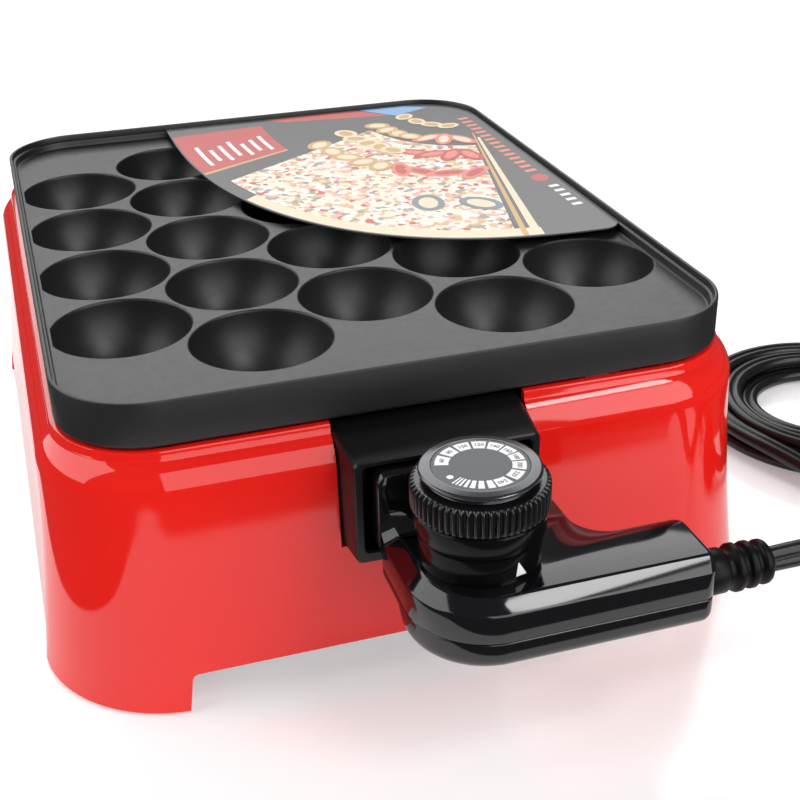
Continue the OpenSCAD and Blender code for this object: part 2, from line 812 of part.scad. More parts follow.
module thermostat_frame() {
    color("lightgray") place()
    difference() {
        union() {
            translate([-frame_x, dial_y - 15, frame_z]) cube([2 * frame_x, 24, frame_t]);
            translate([0, dial_y, frame_z]) cylinder(h = 4.2, r = spindle_r + 2);
            for (x = [-frame_x, frame_x - frame_t])
                translate([x, dial_y - 12, case_bottom_z + case_t])
                    cube([frame_t, 6, frame_z - case_bottom_z - case_t + eps]);
        }
        translate([0, dial_y, frame_z - 1]) cylinder(h = 20, r = spindle_r + seat);
    }
}

// Contact blades on their ceramic stack, under the spindle
module thermostat_blades() {
    stack_d = 4.6;
    stack_x = frame_x - frame_t - gap - stack_d / 2;
    color("goldenrod") place()
    translate([stack_x, dial_y - 12, 0]) {
        translate([0, 0, case_bottom_z + case_t])
            cylinder(h = frame_z - case_bottom_z - case_t, d = stack_d);
        for (z = [case_bottom_z + 5, case_bottom_z + 6.8])
            translate([-2, -2.5, z]) cube([4, 12.5, 0.5]);
        translate([0, 8, case_bottom_z + 5]) cylinder(h = 2.2, d = 3);
    }
}

module probe_tube() {
    color("silver") place() {
        rod_y(0, neck_back_y + 0.6, sleeve_end_y - 5.5, pin_z, 6);
        translate([0, sleeve_end_y - 5.5, pin_z]) sphere(d = 6);
    }
}

// Spring receptacles in the nose, round the terminal pins
module terminal_clips() {
    color("goldenrod") place()
    for (sx = [-1, 1])
        difference() {
            rod_y(sx * pin_x, neck_back_y + 0.6, nose_tip_y - 1, pin_z, 8 - 2 * seat);
            rod_y(sx * pin_x, neck_back_y + 3, nose_tip_y, pin_z, pin_d + 2 * gap);
        }
}

module cord_clamp() {
    clamp_x = arm_len - 20;
    color([0.85, 0.82, 0.75]) place()
    difference() {
        translate([clamp_x, arm_y - 7, case_bottom_z + case_t])
            cube([6, 14, split_z - case_bottom_z - case_t + 3]);
        translate([clamp_x + 3, arm_y, split_z]) cube([10, cord_w, cord_t], center = true);
    }
}

// Rubber bush with a flange inside the case, ribs outside and a tapering end
module strain_relief() {
    out_x = arm_len + gap / 2;
    color([0.12, 0.12, 0.13]) place()
    translate([0, arm_y, split_z])
        rotate([0, 90, 0])
            rotate_extrude()
                polygon([
                    [0, arm_len - 5], [6, arm_len - 5], [6, arm_len - boot_wall - 0.05],
                    [5.4, arm_len - boot_wall - 0.05], [5.4, out_x], [5.9, out_x + 0.5], [5.9, out_x + 10.5],
                    [6.2, out_x + 11], [6.2, out_x + 12.4], [4.9, out_x + 12.8], [4.8, out_x + 15],
                    [6.1, out_x + 15.4], [6.0, out_x + 17], [4.7, out_x + 17.4], [4.6, out_x + 19.6],
                    [5.7, out_x + 20], [5.5, out_x + 21.6], [4.4, out_x + 22], [4.3, out_x + 24],
                    [4.9, out_x + 24.4], [4.6, boot_tip_x - 0.6], [4.2, boot_tip_x], [0, boot_tip_x]
                ]);
}

// ---- flat twin cord: a lead down to the table, a loose coil and a short tail
coil_centre = [182, -22];
coil_out_r = 49;
coil_turn = 8.2;                // how much the spiral draws in each turn
coil_in_angle = 900;
coil_end_angle = 1640;
coil_low_z = 3;
coil_high_z = coil_low_z + cord_t + 0.6;
lead_points = [
    [boot_tip_x, arm_y - origin_y, split_z], [88, -148, 43], [97, -148, 42], [107, -148.3, 38.5],
    [118, -149, 31.5], [129, -150, 23], [140, -152, 14.5], [152, -153.5, 7.5], [165, -154, 3.4],
    [180, -152, 2.4], [195, -145.5, 2.4], [208, -134, 2.4], [218.5, -119, 2.4], [226, -101, 2.4],
    [230, -82, 2.4], [231, -62, 2.4], [231, -42, 2.7], [231, -22, 3]
];
tail_points = [
    [139.01, -37.65, 8], [141.06, -43.29, 8], [144.5, -52, 7.4], [148.5, -62, 6.4], [152, -71.5, 6],
    [155, -80, 6.8], [158, -88.5, 8]
];
function spiral_r(a) =
    coil_out_r - coil_in_angle / 360 * coil_turn + sqrt(pow(a - coil_in_angle, 2) + 3600) / 360 * coil_turn;
function climb(a) =
    let (t = min(1, max(0, (a - coil_in_angle + 90) / 180)))
        coil_low_z + (coil_high_z - coil_low_z) * t * t * (3 - 2 * t);
coil_points = [
    for (a = [0 : 15 : coil_end_angle + 5])
        let (b = min(a, coil_end_angle), r = spiral_r(b))
            [coil_centre[0] + r * cos(b), coil_centre[1] + r * sin(b), climb(b)]
];

function unit(v) = v / norm(v);
function path_dir(p, i) =
    unit(p[min(i + 1, len(p) - 1)] - p[max(i - 1, 0)]);

// Rings of a flat tube: the wide axis turns from upright to level over the first part
function ring(c, d, twist, n, w, t) =
    let (side = unit(cross([0, 0, 1], d)), up = cross(d, side),
         wide = side * cos(twist) + up * sin(twist), thin = cross(d, wide))
        [for (k = [0 : n - 1]) c + wide * (w / 2 * cos(360 * k / n)) + thin * (t / 2 * sin(360 * k / n))];

module flat_tube(p, d0, d1, twists, n) {
    last = len(p) - 1;
    rings = [
        for (i = [0 : last])
            ring(p[i], i == 0 ? d0 : i == last ? d1 : path_dir(p, i), twists[i], n, cord_w, cord_t)
    ];
    points = [for (r = rings) each r];
    sides = [
        for (i = [0 : last - 1])
            for (k = [0 : n - 1])
                for (f = [[i * n + k, i * n + (k + 1) % n, (i + 1) * n + k],
                          [i * n + (k + 1) % n, (i + 1) * n + (k + 1) % n, (i + 1) * n + k]])
                    f
    ];
    ends = [
        for (k = [1 : n - 2])
            for (f = [[0, k + 1, k], [last * n, last * n + k, last * n + k + 1]])
                f
    ];
    polyhedron(points = points, faces = concat(sides, ends), convexity = 10);
}

lead_twists = [for (i = [0 : len(lead_points) - 1]) 90 * max(0, 1 - i / 8)];

module cord_lead() {
    color([0.08, 0.08, 0.08])
    flat_tube(lead_points, [1, 0, 0], [0, 1, 0], lead_twists, 10);
}

coil_last = len(coil_points) - 1;
coil_start_dir = [0, 1, 0];
coil_end_dir = [-sin(coil_end_angle), cos(coil_end_angle), 0];

module cord_coil() {
    color([0.08, 0.08, 0.08])
    flat_tube(coil_points, coil_start_dir, coil_end_dir, [for (i = [0 : coil_last]) 0], 6);
}

plug_dir = unit([0.33, -0.94, 0]);
tail_path = concat([coil_points[coil_last]], [for (i = [1 : len(tail_points) - 1]) tail_points[i]]);

module cord_tail() {
    color([0.08, 0.08, 0.08])
    flat_tube(tail_path, coil_end_dir, plug_dir, [for (i = [0 : len(tail_path) - 1]) 0], 10);
}

// Least room between turns of the coil that aren't neighbours along it
function room(p, q) =
    let (h = norm([p[0] - q[0], p[1] - q[1]]), v = abs(p[2] - q[2]), u = norm([h / cord_w, v / cord_t]))
        norm([h, v]) * (1 - 1 / u);
coil_room = min([
    for (i = [0 : coil_last])
        for (j = [i + 12 : 1 : coil_last]) room(coil_points[i], coil_points[j])
]);
echo(least_gap_of_the_coil_to_itself = coil_room);

// Thin band round the bundle of turns
module cord_tie() {
    tie_angle = 20;
    inner_r = spiral_r(coil_in_angle) - cord_w / 2 - 2;
    outer_r = coil_out_r + cord_w / 2 + 1.5;
    top_z = coil_high_z + cord_t / 2 + 0.4;
    band = 0.7;
    color("dimgray")
    translate([coil_centre[0], coil_centre[1], 0])
        rotate([0, 0, tie_angle])
            translate([(inner_r + outer_r) / 2, 2, (top_z + 0.1) / 2 + band / 2])
                rotate([90, 0, 0])
                    linear_extrude(4)
                        difference() {
                            rounded((outer_r - inner_r) / 2 + band, top_z / 2 + band / 2 - 0.05, 2);
                            rounded((outer_r - inner_r) / 2, top_z / 2 - band / 2 - 0.05, 1.4);
                        }
}

// ---- plug on the cord's far end, drawn along +X and then turned into place
plug_end = tail_points[len(tail_points) - 1];
plug_angle = atan2(plug_dir[1], plug_dir[0]);

module at_plug() {
    translate(plug_end) rotate([0, 0, plug_angle]) children();
}

module plug_section(hy, hz, r, x, t) {
    translate([x, 0, 0]) rotate([90, 0, 90]) linear_extrude(t) rounded(hy, hz, r, $fn = 32);
}

module plug_body() {
    color([0.1, 0.1, 0.1])
    at_plug() {
        hull() {
            plug_section(4.6, 3.4, 2.6, 0, 0.5);
            plug_section(5.4, 4.2, 3, 9, 0.5);
        }
        for (x = [2, 5, 8]) plug_section(5.6, 4.6, 3, x, 1.4);
        hull() {
            plug_section(9, 6.2, 4, 9.4, 0.5);
            plug_section(12, 7.6, 4.5, 15, 7);
            plug_section(11.4, 7.2, 4.2, 29.5, 0.5);
        }
    }
}

module plug_blades() {
    color("gainsboro")
    at_plug()
        for (y = [-6.35, 6.35])
            difference() {
                translate([30, y - 0.75, -3.17]) cube([16.9, 1.5, 6.35]);
                translate([42.5, y - 5, 0]) rotate([-90, 0, 0]) cylinder(h = 10, d = 3);
                for (sz = [-1, 1])
                    translate([46.9, y - 5, sz * 3.17])
                        rotate([0, 45, 0]) translate([-0.9, 0, -0.9]) cube([1.8, 10, 1.8]);
            }
}

// ---- stiff card that lies on the ledges of the rim
card_x = plate_x - rim_t - 0.4;
card_back_y = plate_y - rim_t - 0.4;
card_w = 125;
card_l = 166;
card_bow = 2.6;
card_corner = 7;
card_back_r = plate_corner - rim_t;
card_outline = concat(
    arc([card_x - card_back_r, card_back_y - card_back_r], card_back_r, 0, 90, 12),
    [[card_x - card_w, card_back_y]],
    [for (i = [1 : 23])
        let (a = 90 * i / 24)
            [card_x - card_w * pow(cos(a), 2 / card_bow), card_back_y - card_l * pow(sin(a), 2 / card_bow)]],
    arc([card_x - card_corner, card_back_y - card_l + card_corner], card_corner, -90, 0, 8)
);

module insert_card() {
    color([0.85, 0.45, 0.4]) place()
    translate([0, 0, ledge_z + 0.05]) linear_extrude(card_t) polygon(card_outline);
}

base_shell();
foot_pads();
bottom_pan();
pan_screws();
heat_reflector();
plate_spacers();
plate_screws();
cooking_plate();
heating_element();
element_supports();
terminal_pins();
probe_sleeve();
socket_housing();
controller_lower_case();
controller_upper_case();
case_screws();
dial_collar();
dial_pointer();
dial_knob();
dial_disc();
dial_rim();
dial_spindle();
thermostat_frame();
thermostat_blades();
probe_tube();
terminal_clips();
cord_clamp();
strain_relief();
cord_lead();
cord_coil();
cord_tail();
cord_tie();
plug_body();
plug_blades();
insert_card();
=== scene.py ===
import math
import bmesh
import bpy
from mathutils import Matrix, Vector
from mathutils.geometry import delaunay_2d_cdt


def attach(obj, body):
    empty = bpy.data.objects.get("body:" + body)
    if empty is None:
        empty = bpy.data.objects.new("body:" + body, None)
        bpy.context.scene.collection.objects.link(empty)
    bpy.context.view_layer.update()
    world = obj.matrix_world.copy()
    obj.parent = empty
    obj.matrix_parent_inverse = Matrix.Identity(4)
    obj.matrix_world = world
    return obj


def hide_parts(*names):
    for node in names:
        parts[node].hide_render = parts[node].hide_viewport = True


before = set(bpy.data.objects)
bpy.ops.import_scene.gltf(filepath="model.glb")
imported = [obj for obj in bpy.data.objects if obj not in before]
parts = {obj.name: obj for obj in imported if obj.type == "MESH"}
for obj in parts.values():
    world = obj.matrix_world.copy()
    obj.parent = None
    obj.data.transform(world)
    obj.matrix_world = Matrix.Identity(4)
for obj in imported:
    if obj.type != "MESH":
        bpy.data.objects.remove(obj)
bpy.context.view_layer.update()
MM = 0.001

# ---------------- studio
# A white table with a bright sheet that ends a little past the cooker in front and at its
# sides, two large soft boxes in front, one at the left, a strip at the upper right and
# one box behind. The sheet glows, a painted light on the cooker, and past it the table
# is painted dark where it is seen in reflections only.


def node(tree, kind):
    """A new shader node."""
    return tree.nodes.new("ShaderNode" + kind)


def join(tree, *pairs):
    """Wires each output to its input."""
    for output, socket in pairs:
        tree.links.new(output, socket)


world = bpy.data.worlds.new("white_room")
bpy.context.scene.world = world
world.use_nodes = True
room = world.node_tree
room.nodes.clear()
room_out = node(room, "OutputWorld")
room_light, room_gloss, room_seen = (node(room, "Background") for _ in range(3))
for wall, strength in ((room_light, 0.2), (room_gloss, 0.12), (room_seen, 1.0)):
    wall.inputs["Color"].default_value = (1.0, 1.0, 1.0, 1)
    wall.inputs["Strength"].default_value = strength
gloss_pick, room_pick = (node(room, "MixShader") for _ in range(2))
room_ray = node(room, "LightPath")
join(room, (room_ray.outputs["Is Glossy Ray"], gloss_pick.inputs["Fac"]),
     (room_light.outputs[0], gloss_pick.inputs[1]), (room_gloss.outputs[0], gloss_pick.inputs[2]),
     (room_ray.outputs["Is Camera Ray"], room_pick.inputs["Fac"]),
     (gloss_pick.outputs[0], room_pick.inputs[1]), (room_seen.outputs[0], room_pick.inputs[2]),
     (room_pick.outputs[0], room_out.inputs["Surface"]))


def placed(name, data):
    """A new object in the scene."""
    made = bpy.data.objects.new(name, data)
    bpy.context.scene.collection.objects.link(made)
    return made


TABLE_HALF = 2.6
table_mesh = bpy.data.meshes.new("table_top")
table_mesh.from_pydata([(x * TABLE_HALF, y * TABLE_HALF, 0) for x, y in ((-1, -1), (1, -1), (1, 1), (-1, 1))],
                       [], [(0, 1, 2, 3)])
table_top = placed("table_top", table_mesh)

table_paint = bpy.data.materials.new("table_paint")
table_paint.use_nodes = True
paint = table_paint.node_tree
paint.nodes.clear()
paint_out = node(paint, "OutputMaterial")
paint_ray = node(paint, "LightPath")
paint_lit, paint_dark_reflection = (node(paint, "BsdfDiffuse") for _ in range(2))
paint_lit.inputs["Color"].default_value = (0.86, 0.855, 0.86, 1)
paint_dark_reflection.inputs["Color"].default_value = (0.07, 0.07, 0.07, 1)
paint_shine = node(paint, "BsdfGlossy")
paint_shine.inputs["Roughness"].default_value = 0.17
paint_lift, paint_glow = (node(paint, "Emission") for _ in range(2))
paint_lift.inputs["Color"].default_value = (1.0, 0.99, 1.0, 1)
dark_reflection_pick, shine_pick, seen_pick = (node(paint, "MixShader") for _ in range(3))
lift_sum, glow_sum = (node(paint, "AddShader") for _ in range(2))

# The bright sheet in front and at the left ends where its reflection does on the red wall.
# On the sheet the table glows as painted light; past it, for reflections only, it is a
# painted dark reflection.
SHEET_LEFT, SHEET_RIGHT, SHEET_FRONT, SHEET_ROUND = -0.152, 0.19, -0.21, 0.05
SHEET_GLOW, TABLE_SHINE = 0.22, 0.13
LIFT_START, LIFT_END = 0.5, 1.0     # metres from the middle over which the table turns white
LIFT_NEAR, LIFT_FAR = 0.27, 1.0
paint_place = node(paint, "TexCoord")
paint_axes = node(paint, "SeparateXYZ")
paint_reach = node(paint, "VectorMath")
paint_reach.operation = "LENGTH"
paint_fade = node(paint, "MapRange")
for slot, value in (("From Min", LIFT_START), ("From Max", LIFT_END), ("To Min", LIFT_NEAR),
                    ("To Max", LIFT_FAR)):
    paint_fade.inputs[slot].default_value = value


def sheet_sum(operation, first, second):
    """One step of sums on the table's own coordinates."""
    step = node(paint, "Math")
    step.operation = operation
    for slot, value in zip(step.inputs, (first, second)):
        if isinstance(value, (int, float)):
            slot.default_value = value
        else:
            paint.links.new(value, slot)
    return step.outputs[0]


past_right = sheet_sum("SUBTRACT", paint_axes.outputs["X"], SHEET_RIGHT - SHEET_ROUND)
past_left = sheet_sum("SUBTRACT", SHEET_LEFT + SHEET_ROUND, paint_axes.outputs["X"])
past_front = sheet_sum("SUBTRACT", SHEET_FRONT + SHEET_ROUND, paint_axes.outputs["Y"])
past_side = sheet_sum("MAXIMUM", sheet_sum("MAXIMUM", past_right, past_left), 0.0)
past_front = sheet_sum("MAXIMUM", past_front, 0.0)
past_edge = sheet_sum("SQRT", sheet_sum("ADD", sheet_sum("MULTIPLY", past_side, past_side),
                                        sheet_sum("MULTIPLY", past_front, past_front)), 0.0)
off_sheet = sheet_sum("GREATER_THAN", past_edge, SHEET_ROUND)
# Painted dark reflection past the sheet for glossy rays, and the sheet's painted glow for all rays but the
# camera's
dark_reflection_share = sheet_sum("MULTIPLY", paint_ray.outputs["Is Glossy Ray"], off_sheet)
glow_strength = sheet_sum("MULTIPLY", sheet_sum("SUBTRACT", 1.0, off_sheet), SHEET_GLOW)
shine_pick.inputs["Fac"].default_value = TABLE_SHINE
join(paint, (paint_place.outputs["Object"], paint_axes.inputs[0]),
     (paint_place.outputs["Object"], paint_reach.inputs[0]),
     (paint_reach.outputs["Value"], paint_fade.inputs["Value"]),
     (paint_fade.outputs["Result"], paint_lift.inputs["Strength"]),
     (dark_reflection_share, dark_reflection_pick.inputs["Fac"]),
     (paint_lit.outputs[0], dark_reflection_pick.inputs[1]), (paint_dark_reflection.outputs[0], dark_reflection_pick.inputs[2]),
     (paint_lit.outputs[0], shine_pick.inputs[1]), (paint_shine.outputs[0], shine_pick.inputs[2]),
     (shine_pick.outputs[0], lift_sum.inputs[0]), (paint_lift.outputs[0], lift_sum.inputs[1]),
     (glow_strength, paint_glow.inputs["Strength"]),
     (dark_reflection_pick.outputs[0], glow_sum.inputs[0]), (paint_glow.outputs[0], glow_sum.inputs[1]),
     (paint_ray.outputs["Is Camera Ray"], seen_pick.inputs["Fac"]),
     (glow_sum.outputs[0], seen_pick.inputs[1]), (lift_sum.outputs[0], seen_pick.inputs[2]),
     (seen_pick.outputs[0], paint_out.inputs["Surface"]))
table_mesh.materials.append(table_paint)

LAMP_AIM = Vector((0.0, 0.0, 0.05))


def direction(azimuth, elevation):
    """From the cooker towards a place, by angles in degrees from straight in front."""
    a, e = math.radians(azimuth), math.radians(elevation)
    return Vector((math.sin(a) * math.cos(e), -math.cos(a) * math.cos(e), math.sin(e)))


def soft_lamp(name, azimuth, elevation, distance, width, height, watts):
    """A soft box that faces the cooker."""
    lamp = bpy.data.lights.new(name, "AREA")
    lamp.shape = "RECTANGLE"
    lamp.size, lamp.size_y, lamp.energy = width, height, watts
    holder = placed(name, lamp)
    towards = direction(azimuth, elevation)
    holder.location = LAMP_AIM + towards * distance
    holder.rotation_euler = (-towards).to_track_quat("-Z", "Y").to_euler()


soft_lamp("front_box", 6.0, 21.0, 1.3, 0.66, 1.15, 4.4)
soft_lamp("front_right_box", 37.0, 21.0, 1.3, 0.72, 1.15, 7.6)
soft_lamp("left_box", -106.0, 30.0, 1.1, 1.5, 1.1, 12.5)
soft_lamp("upper_strip", 39.0, 51.7, 1.28, 0.44, 0.22, 3.2)
soft_lamp("back_box", 168.0, 37.0, 1.6, 1.6, 1.1, 14.0)

CAMERA_AZIMUTH, CAMERA_ELEVATION, CAMERA_ROLL = -16.799, 27.801, -1.28     # degrees
CAMERA_PLACE = (-0.0958, -0.3886, 0.2390)
camera_back = direction(CAMERA_AZIMUTH, CAMERA_ELEVATION)
level_right = (-camera_back).cross(Vector((0, 0, 1))).normalized()
level_up = level_right.cross(-camera_back)
roll = math.radians(CAMERA_ROLL)
roll_cos, roll_sin = math.cos(roll), math.sin(roll)
camera_right = roll_cos * level_right + roll_sin * level_up
camera_up = roll_cos * level_up - roll_sin * level_right
lens = bpy.data.cameras.new("view_camera")
lens.lens, lens.sensor_width = 59.449, 36.0
lens.clip_start, lens.clip_end = 0.01, 30.0
camera = placed("view_camera", lens)
camera.matrix_world = Matrix.Translation(CAMERA_PLACE) @ Matrix(
    (camera_right, camera_up, camera_back)).transposed().to_4x4()
bpy.context.scene.camera = camera
bpy.context.scene.view_settings.view_transform = "Standard"

# ---------------- base shell
# The red lower body: one glossy heat-resistant moulding, open above and below,
# with a rounded shoulder under the plate and four corner feet left by cut-outs.

MID_Y = 25.0            # the base's middle, on the row's Y axis
BASE_X, BASE_Y = 101.2, 127.5
BASE_CORNER = 33.0
BASE_WALL = 2.4
BASE_FLARE = 6.0
SHOULDER_Z, SHOULDER_R = 63.5, 11.0
LIP_Z = 75.2
SOLE_Z = 0.6
ARC_STEPS = 20


def mesh_of(name, points, faces):
    """A mesh from points in millimetres, with doubled points merged and faces turned outwards."""
    mesh = bpy.data.meshes.new(name)
    mesh.from_pydata([tuple(c * MM for c in p) for p in points], [], faces)
    shape = bmesh.new()
    shape.from_mesh(mesh)
    bmesh.ops.remove_doubles(shape, verts=shape.verts, dist=1e-6)
    bmesh.ops.recalc_face_normals(shape, faces=shape.faces)
    shape.to_mesh(mesh)
    shape.free()
    return mesh


def smooth(made, sharp):
    """Shades smoothly, and keeps edges over an angle in degrees sharp."""
    made.data.shade_smooth()
    made.data.set_sharp_from_angle(angle=math.radians(sharp))


def piece(name, points, faces, body, slot_name, material, sharp=32.0):
    """A shaded piece from points in millimetres, riding on a body."""
    made = placed(name, mesh_of(name, points, faces))
    smooth(made, sharp)
    made.data.materials.append(material)
    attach(made, body)
    return made


def finish_of(name, colour, roughness, metallic=0.0, gleam=0.5):
    """A material with its Principled node, ready for bump and colour variation."""
    made = bpy.data.materials.new(name)
    made.use_nodes = True
    skin = made.node_tree.nodes["Principled BSDF"]
    skin.inputs["Base Color"].default_value = (*colour, 1)
    skin.inputs["Roughness"].default_value = roughness
    skin.inputs["Metallic"].default_value = metallic
    skin.inputs["Specular IOR Level"].default_value = gleam
    return made


def grain(material, scale, depth, detail=3.0, stretch=(1, 1, 1), distance=0.0002):
    """Fine relief from noise in the object's own space."""
    tree = material.node_tree
    place = node(tree, "TexCoord")
    spread = node(tree, "Mapping")
    spread.inputs["Scale"].default_value = stretch
    noise = node(tree, "TexNoise")
    noise.inputs["Scale"].default_value = scale
    noise.inputs["Detail"].default_value = detail
    relief = node(tree, "Bump")
    relief.inputs["Strength"].default_value = depth
    relief.inputs["Distance"].default_value = distance
    join(tree, (place.outputs["Object"], spread.inputs["Vector"]),
         (spread.outputs["Vector"], noise.inputs["Vector"]), (noise.outputs["Fac"], relief.inputs["Height"]),
         (relief.outputs["Normal"], tree.nodes["Principled BSDF"].inputs["Normal"]))


def mottle(material, low, high, scale, socket="Base Color"):
    """Colour or roughness that varies a little over the surface."""
    tree = material.node_tree
    place = node(tree, "TexCoord")
    noise = node(tree, "TexNoise")
    noise.inputs["Scale"].default_value = scale
    noise.inputs["Detail"].default_value = 4.0
    ramp = node(tree, "ValToRGB")
    ramp.color_ramp.elements[0].position = 0.32
    ramp.color_ramp.elements[1].position = 0.68
    for element, tone in zip(ramp.color_ramp.elements, (low, high)):
        element.color = (*tone, 1) if isinstance(tone, tuple) else (tone, tone, tone, 1)
    join(tree, (place.outputs["Object"], noise.inputs["Vector"]), (noise.outputs["Fac"], ramp.inputs["Fac"]),
         (ramp.outputs["Color"], tree.nodes["Principled BSDF"].inputs[socket]))


def arc(x, y, r, start, end, steps):
    """Points of an arc about (x, y), with its angles in degrees."""
    return [(x + r * math.cos(math.radians(start + (end - start) * i / steps)),
             y + r * math.sin(math.radians(start + (end - start) * i / steps)))
            for i in range(steps + 1)]


def circle(r):
    """24 points round a circle about (0, 0)."""
    return arc(0, 0, r, 0, 345, 23)


def carried_round(section, core_x, core_y, closed=True):
    """A section of (distance from the corner's axis, height) led round a rounded rectangle."""
    points, faces = [], []
    columns = 0
    for quarter, (sx, sy) in enumerate(((1, 1), (-1, 1), (-1, -1), (1, -1))):
        for i in range(ARC_STEPS + 1):
            a = math.radians(90 * quarter + 90 * i / ARC_STEPS)
            points += [(sx * core_x + d * math.cos(a), MID_Y + sy * core_y + d * math.sin(a), z)
                       for d, z in section]
            columns += 1
    rows = len(section)
    for c in range(columns):
        for r in range(rows if closed else rows - 1):
            a, b = c * rows + r, c * rows + (r + 1) % rows
            e = (c + 1) % columns
            faces.append((a, e * rows + r, e * rows + (r + 1) % rows, b))
    return points, faces


def cut(made, tool_points, tool_faces):
    """Takes a closed tool, given in millimetres, away from a piece."""
    tool = placed("cutter", mesh_of("cutter", tool_points, tool_faces))
    step = made.modifiers.new("cut", "BOOLEAN")
    step.operation, step.solver, step.object = "DIFFERENCE", "EXACT", tool
    seen = made.evaluated_get(bpy.context.evaluated_depsgraph_get())
    result = bpy.data.meshes.new_from_object(seen)
    made.modifiers.clear()
    made.data = result
    bpy.data.objects.remove(tool)


def prism(outline, along, start, end):
    """A closed prism: outline points lie in the plane across the axis named by along."""
    order = {"x": lambda u, v, w: (w, u, v), "y": lambda u, v, w: (u, w, v),
             "z": lambda u, v, w: (u, v, w)}[along]
    n = len(outline)
    points = [order(u, v, w) for w in (start, end) for u, v in outline]
    faces = [tuple(range(n)), tuple(range(2 * n - 1, n - 1, -1))]
    faces += [(i, (i + 1) % n, n + (i + 1) % n, n + i) for i in range(n)]
    return points, faces


def flare(z):
    """How far the wall stands out past the shoulder at a height."""
    return BASE_FLARE * (max(0.0, SHOULDER_Z - z) / (SHOULDER_Z - SOLE_Z)) ** 1.5


red_gloss = finish_of("red_gloss_moulding", (0.72, 0.011, 0.006), 0.06, gleam=0.6)
grain(red_gloss, 30.0, 0.06, detail=1.5, distance=0.0006)
mottle(red_gloss, (0.70, 0.010, 0.006), (0.74, 0.012, 0.007), 9.0)

base_side = [(BASE_CORNER + flare(z), z) for z in
             [SOLE_Z + (SHOULDER_Z - SOLE_Z) * i / 18 for i in range(18)]]
base_side[0] = (BASE_CORNER + flare(SOLE_Z) - 0.4, SOLE_Z)
base_side.insert(1, (BASE_CORNER + flare(SOLE_Z) - 0.02, SOLE_Z + 0.5))
base_section = base_side + arc(BASE_CORNER - SHOULDER_R, SHOULDER_Z, SHOULDER_R, 0, 54, 16) + [
    (BASE_CORNER - 4.65, 72.75), (BASE_CORNER - 4.85, 73.1), (BASE_CORNER - 4.85, 74.6),
    (BASE_CORNER - 5.05, 75.05), (BASE_CORNER - 5.5, LIP_Z), (BASE_CORNER - 6.9, LIP_Z),
    (BASE_CORNER - 7.1, 72.6)] + arc(
    BASE_CORNER - SHOULDER_R, SHOULDER_Z, SHOULDER_R - BASE_WALL, 58, 0, 8) + [
    (BASE_CORNER + flare(z) - BASE_WALL, z) for z in (55, 45, 35, 25, 15, 8, SOLE_Z)]
shell = piece("shell_moulding", *carried_round(base_section, BASE_X - BASE_CORNER, BASE_Y - BASE_CORNER),
              "cooker", "red_enamel", red_gloss)
GAP_TOP, GAP_ROUND, GAP_SLANT = 11.5, 2.0, 1.7      # the cut-outs between the feet
GAP_X, GAP_Y = 70.2, 96.5
WINDOW_HALF, WINDOW_LOW = 26.9, 40.9                # the socket's window in the front wall
for axis, half, shift in (("y", GAP_X, 0.0), ("x", GAP_Y, MID_Y)):
    soft_corner = arc(half - GAP_ROUND, GAP_TOP - GAP_ROUND, GAP_ROUND, 0, 90, 6)
    outline = [(shift + half + GAP_SLANT, -1)] + [(shift + u, v) for u, v in soft_corner]
    outline += [(shift - u, v) for u, v in reversed(soft_corner)] + [(shift - half - GAP_SLANT, -1)]
    cut(shell, *prism(outline, axis, -200, 220))
window = [(-WINDOW_HALF, WINDOW_LOW), (WINDOW_HALF, WINDOW_LOW), (WINDOW_HALF, 90), (-WINDOW_HALF, 90)]
cut(shell, *prism(window, "y", -120, -80))
smooth(shell, 32)
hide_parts("base_shell")

SEAT_R, SEAT_LOW, SEAT_TOP = 37.6, 3.0, 5.4          # the level corners that the feet are set in
seat_outline = arc(BASE_X - BASE_CORNER, BASE_Y - BASE_CORNER, SEAT_R, 5.6, 84.4, 10) + [(71.9, 98.2)]
for number, (sx, sy) in enumerate(((1, 1), (-1, 1), (-1, -1), (1, -1)), 1):
    outline = [(sx * x, MID_Y + sy * y) for x, y in seat_outline]
    piece(f"foot_seat_{number}", *prism(outline, "z", SEAT_LOW, SEAT_TOP), "cooker", "red_enamel", red_gloss)

# ---------------- feet, pan and screws
# Four moulded rubber pads with stems through the corner seats, and a pressed steel pan
# that closes the underside with rows of cooling slots, held by small screws.

pad_rubber = finish_of("foot_rubber", (0.028, 0.028, 0.028), 0.75)
grain(pad_rubber, 900.0, 0.35)
zinc_sheet = finish_of("zinc_sheet", (0.6, 0.61, 0.62), 0.38, metallic=1.0)
grain(zinc_sheet, 120.0, 0.12, stretch=(1, 12, 1))
mottle(zinc_sheet, 0.3, 0.48, 30.0, "Roughness")
screw_steel = finish_of("screw_steel", (0.58, 0.57, 0.55), 0.3, metallic=1.0)
grain(screw_steel, 600.0, 0.15)


def dress(material, *names):
    """Gives carried-over CAD nodes a finish."""
    for name in names:
        mesh = parts[name].data
        mesh.materials.clear()
        mesh.materials.append(material)


dress(pad_rubber, "foot_pads")
dress(zinc_sheet, "bottom_pan")
dress(screw_steel, "pan_screws", "plate_screws", "plate_spacers", "element_supports", "case_screws")

# ---------------- heater
# A tubular element bent into an M under the cups, over a bright pressed tray that
# throws the heat up. Its cold ends carry the pins that the controller plugs onto.

